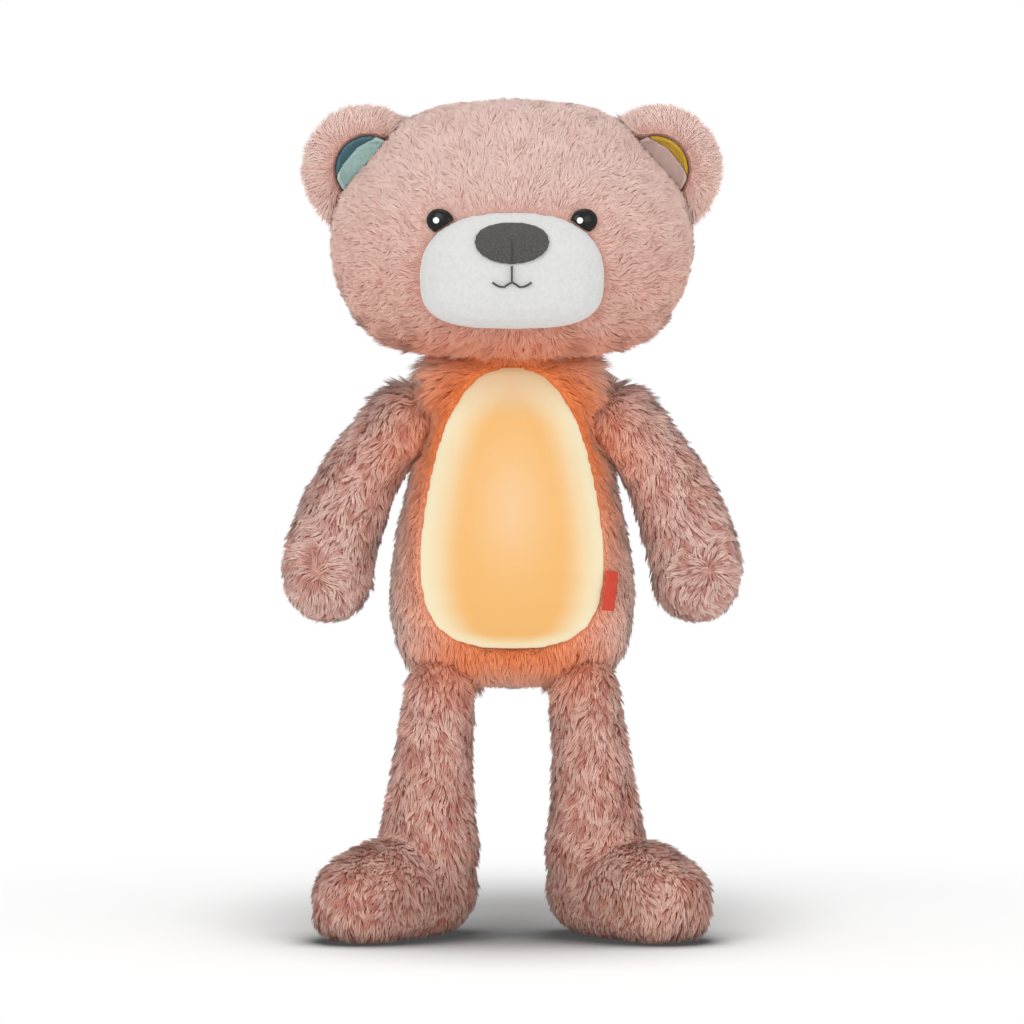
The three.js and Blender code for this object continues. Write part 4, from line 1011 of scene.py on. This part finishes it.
def comb_neck(points, normals):
    """Straight out and a little down."""
    return unit(points * SIDEWAYS) + DOWN * NECK_FALL


BACK_OF_HEAD = (20 * MM, 50 * MM)
JAW_EXTRA = 0.8


def comb_head(points, normals):
    """Away from the muzzle over the face and the crown, and down at the back."""
    low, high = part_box("muzzle")
    middle = np.array((0, high.y, (low.z + high.z) / 2))
    back = rising(points[:, 1], *BACK_OF_HEAD)[:, None]
    return toward(unit(points - middle), DOWN, back)


def jaw_fringe(points, normals):
    """Longer under the jaw, where the head's fur hangs over the neck."""
    return 1 + JAW_EXTRA * facing_down(normals)


EAR_BACK = np.array((0, 0.3, 0))


def comb_ear(node):
    """Out from the ear's hollow, over the rim and back."""
    low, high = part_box(node)
    middle = np.array(((low.x + high.x) / 2, low.y, (low.z + high.z) / 2))
    return lambda points, normals: unit(points - middle) + EAR_BACK


SWIRL = Vector((78.6 * MM, 0, 147.4 * MM))
SWIRL_SIZE = 13 * MM
SWIRL_PULL = 1.5
ARM_SLANT = 0.38
ARM_FALL = 0.92
SHOULDER_SIDES = (50 * MM, 60 * MM)
SHOULDER_EXTRA = 0.5


def comb_arm(sign):
    """Down the arm, but out from a swirl on the front of the paw."""
    middle = np.array((sign * SWIRL.x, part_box("arm_left")[0].y, SWIRL.z))
    down = np.array((sign * ARM_SLANT, 0, -ARM_FALL))

    def comb(points, normals):
        away = points - middle
        near = np.exp(-(np.linalg.norm(away, axis=1) / SWIRL_SIZE) ** 2)[:, None]
        return toward(down, SWIRL_PULL * unit(away), near)

    return comb


def arm_fringe(points, normals):
    """Longer on top of the shoulder."""
    upward = rising(normals[:, 2], *FACING)
    return 1 + SHOULDER_EXTRA * upward * falling(np.abs(points[:, 0]), *SHOULDER_SIDES)


ANKLE = 40 * MM
HEEL_INSET = 16 * MM
HEEL_BACK = 8 * MM
FOOT_TOP = (-0.1, 0.5)
FOOT_SPREAD = 0.9
SOLE_DRAW = 0.5
HEEL_EDGE = (8 * MM, 20 * MM)
HEEL_INWARD = (0, 0.6)
HEEL_CUT = 0.5


def comb_leg(node):
    """Down the leg, out along the top of the foot, down round its edge and in under the sole."""
    low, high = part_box(node)
    inner = min(abs(low.x), abs(high.x)) + HEEL_INSET
    middle = np.array((math.copysign(inner, low.x + high.x), HEEL_BACK, 0))

    def comb(points, normals):
        foot = falling(points[:, 2], ANKLE / 2, ANKLE) * rising(normals[:, 2], *FOOT_TOP)
        spread = FOOT_SPREAD * foot - SOLE_DRAW * facing_down(normals)
        return DOWN + unit((points - middle) * SIDEWAYS) * spread[:, None]

    return comb


def leg_fringe(points, normals):
    """Shorter at the heel's inner lower edge."""
    inward = -normals[:, 0] * np.sign(points[:, 0])
    return 1 - HEEL_CUT * falling(points[:, 2], *HEEL_EDGE) * rising(inward, *HEEL_INWARD)


TORSO_TOP = (205 * MM, 228 * MM)
TORSO_OUT = np.array((1, 0.3, 0))
TORSO_SPREAD = 1.6
SHOULDER_SEAM = (212 * MM, 219 * MM)
NECK_SEAM = (228 * MM, 234 * MM)
SEAM_EXTRA = 1.3
HIP_SEAM = (114 * MM, 124 * MM)
HIP_SIDES = (10 * MM, 18 * MM)
HIP_EXTRA = 0.45


def comb_torso(points, normals):
    """Down, and outward over the shoulders and the top."""
    high = rising(points[:, 2], *TORSO_TOP)[:, None]
    return DOWN + unit(points * TORSO_OUT) * high * TORSO_SPREAD


def torso_fringe(points, normals):
    """Longer at the shoulders, and at the hips where the fur hangs over the legs."""
    level = points[:, 2]
    outward = rising(np.abs(normals[:, 0]), *FACING)
    shoulder = rising(level, *SHOULDER_SEAM) * falling(level, *NECK_SEAM) * outward
    hip = falling(level, *HIP_SEAM) * rising(np.abs(points[:, 0]), *HIP_SIDES)
    return 1 + SEAM_EXTRA * shoulder + HIP_EXTRA * hip


def warmth_and_shade_from(above, below, high, low):
    """Warmth and painted shade that change from one value above the high level to another below the low one.
    """
    return lambda points: toward(above, below, falling(points[:, 2], low, high))


# The furry pieces

# Warmth turns the fur to its warm colours, whose roots are darker. It is partly the fur's own tone and
# partly painted shade and light by height, such as the darker lower head and the paler tops of the arms
TRUNK_WARMTH_AND_SHADE = warmth_and_shade_from(above=0.7, below=0.5, high=230 * MM, low=130 * MM)
HEAD_WARMTH_AND_SHADE = warmth_and_shade_from(above=0.05, below=0.8, high=310 * MM, low=245 * MM)
EAR_WARMTH_AND_SHADE = warmth_and_shade_from(above=0.2, below=0.5, high=330 * MM, low=290 * MM)
ARM_WARMTH_AND_SHADE = warmth_and_shade_from(above=0.25, below=0.55, high=222 * MM, low=190 * MM)
LEG_WARMTH_AND_SHADE = warmth_and_shade_from(above=0.6, below=0.7, high=110 * MM, low=0)
EAR_FORM = {"voxel": 1.2 * MM, "rounds": 5, "inset": 0.8 * MM}
FLAP_FORM = {"voxel": 1.1 * MM, "rounds": 3, "inset": 0.3 * MM}
NECK_FORM = {"voxel": 1.2 * MM, "rounds": 2, "inset": 0.2 * MM}


def add_neck():
    """The neck's cloth and fur."""
    skin = backing("neck", TRUNK_WARMTH_AND_SHADE, **NECK_FORM)
    for piece in [skin, *grow(skin, "neck", FACE, comb_neck, TRUNK_WARMTH_AND_SHADE)]:
        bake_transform(piece)


cover("torso", TRUNK, comb_torso, TRUNK_WARMTH_AND_SHADE, where=off_the_tape, fringe=torso_fringe)
cover("head", FACE, comb_head, HEAD_WARMTH_AND_SHADE, fringe=jaw_fringe, voxel=2.4 * MM)
for side, sign in (("left", 1), ("right", -1)):
    ear, arm, leg = (f"{part}_{side}" for part in ("ear", "arm", "leg"))
    cover(ear, EAR, comb_ear(ear), EAR_WARMTH_AND_SHADE, **EAR_FORM)
    cover(arm, LIMB, comb_arm(sign), ARM_WARMTH_AND_SHADE, fringe=arm_fringe)
    cover(leg, LIMB, comb_leg(leg), LEG_WARMTH_AND_SHADE, fringe=leg_fringe, inset=0.6 * MM)
cover("back_flap", TRUNK, comb_down, TRUNK_WARMTH_AND_SHADE, where=outside_only, **FLAP_FORM)
add_neck()


# Cloth in the back: the pocket's lining and the tape that holds the flap

def add_cloth(node, cuts, amount):
    cloth = creased(node, cuts, amount)
    dress_in(cloth, FINISHES[SLOT_OF[node]])
    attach(cloth, BODY_OF[node])


add_cloth("pocket_liner", cuts=3, amount=0.2 * MM)
add_cloth("hook_strip", cuts=4, amount=0.1 * MM)
add_cloth("loop_strip", cuts=4, amount=0.1 * MM)


# Floor: white, with the toy's shadow near it, cast by the lamps and deepened by painted shadow

FLOOR_SIZE = 60
# The painted shadow on the floor: its colour, the reach of the painted contact shade, and the pool of
# painted shadow under the toy
SHADOW = srgb(50, 50, 50)
SHADOW_EDGE = (0.12, 0.38)
CONTACT_REACH = 0.08
CONTACT_RANGE = (0.45, 0.93)
PAINTED_SHADOW_SCALE = (12, 7, 0)
PAINTED_SHADOW_SHIFT = (0, -0.6, 0)
PAINTED_SHADOW_EDGE = (0.2, 1.75)
PAINTED_SHADOW_LIGHT = 0.4
NEAR_GLOW = 0.06


def add_floor():
    """White beyond the shadow's edge; within it, painted shadow darkens it under the toy and where the toy
    stands.
    """
    bpy.ops.mesh.primitive_plane_add(size=FLOOR_SIZE)
    floor = bpy.context.object
    floor.name = "floor"
    finish = Finish("floor", 0.9, Specular_IOR_Level=0)
    distance = finish.add("VectorMath", {0: finish.place}, operation="LENGTH").outputs["Value"]
    far = finish.spread(distance, *SHADOW_EDGE)
    # Painted contact shade where the toy meets the floor, times a painted pool of shadow under the toy
    painted_contact_shade = finish.add("AmbientOcclusion", {"Distance": CONTACT_REACH}, samples=8).outputs["AO"]
    painted_shadow_pool = {0: finish.place, 1: PAINTED_SHADOW_SCALE, 2: PAINTED_SHADOW_SHIFT}
    within = finish.add("VectorMath", painted_shadow_pool, operation="MULTIPLY_ADD").outputs["Vector"]
    reach = finish.add("VectorMath", {0: within}, operation="LENGTH").outputs["Value"]
    light_left_by_painted_shadow = finish.scaled(finish.spread(reach, *PAINTED_SHADOW_EDGE), PAINTED_SHADOW_LIGHT, 1)
    light = finish.maths("MULTIPLY", finish.spread(painted_contact_shade, *CONTACT_RANGE), light_left_by_painted_shadow)
    finish.colour(finish.mix(far, finish.mix(light, SHADOW, WHITE), BLACK))
    finish.emit(WHITE, finish.scaled(far, NEAR_GLOW, 1))
    floor.data.materials.append(finish.material)


add_floor()
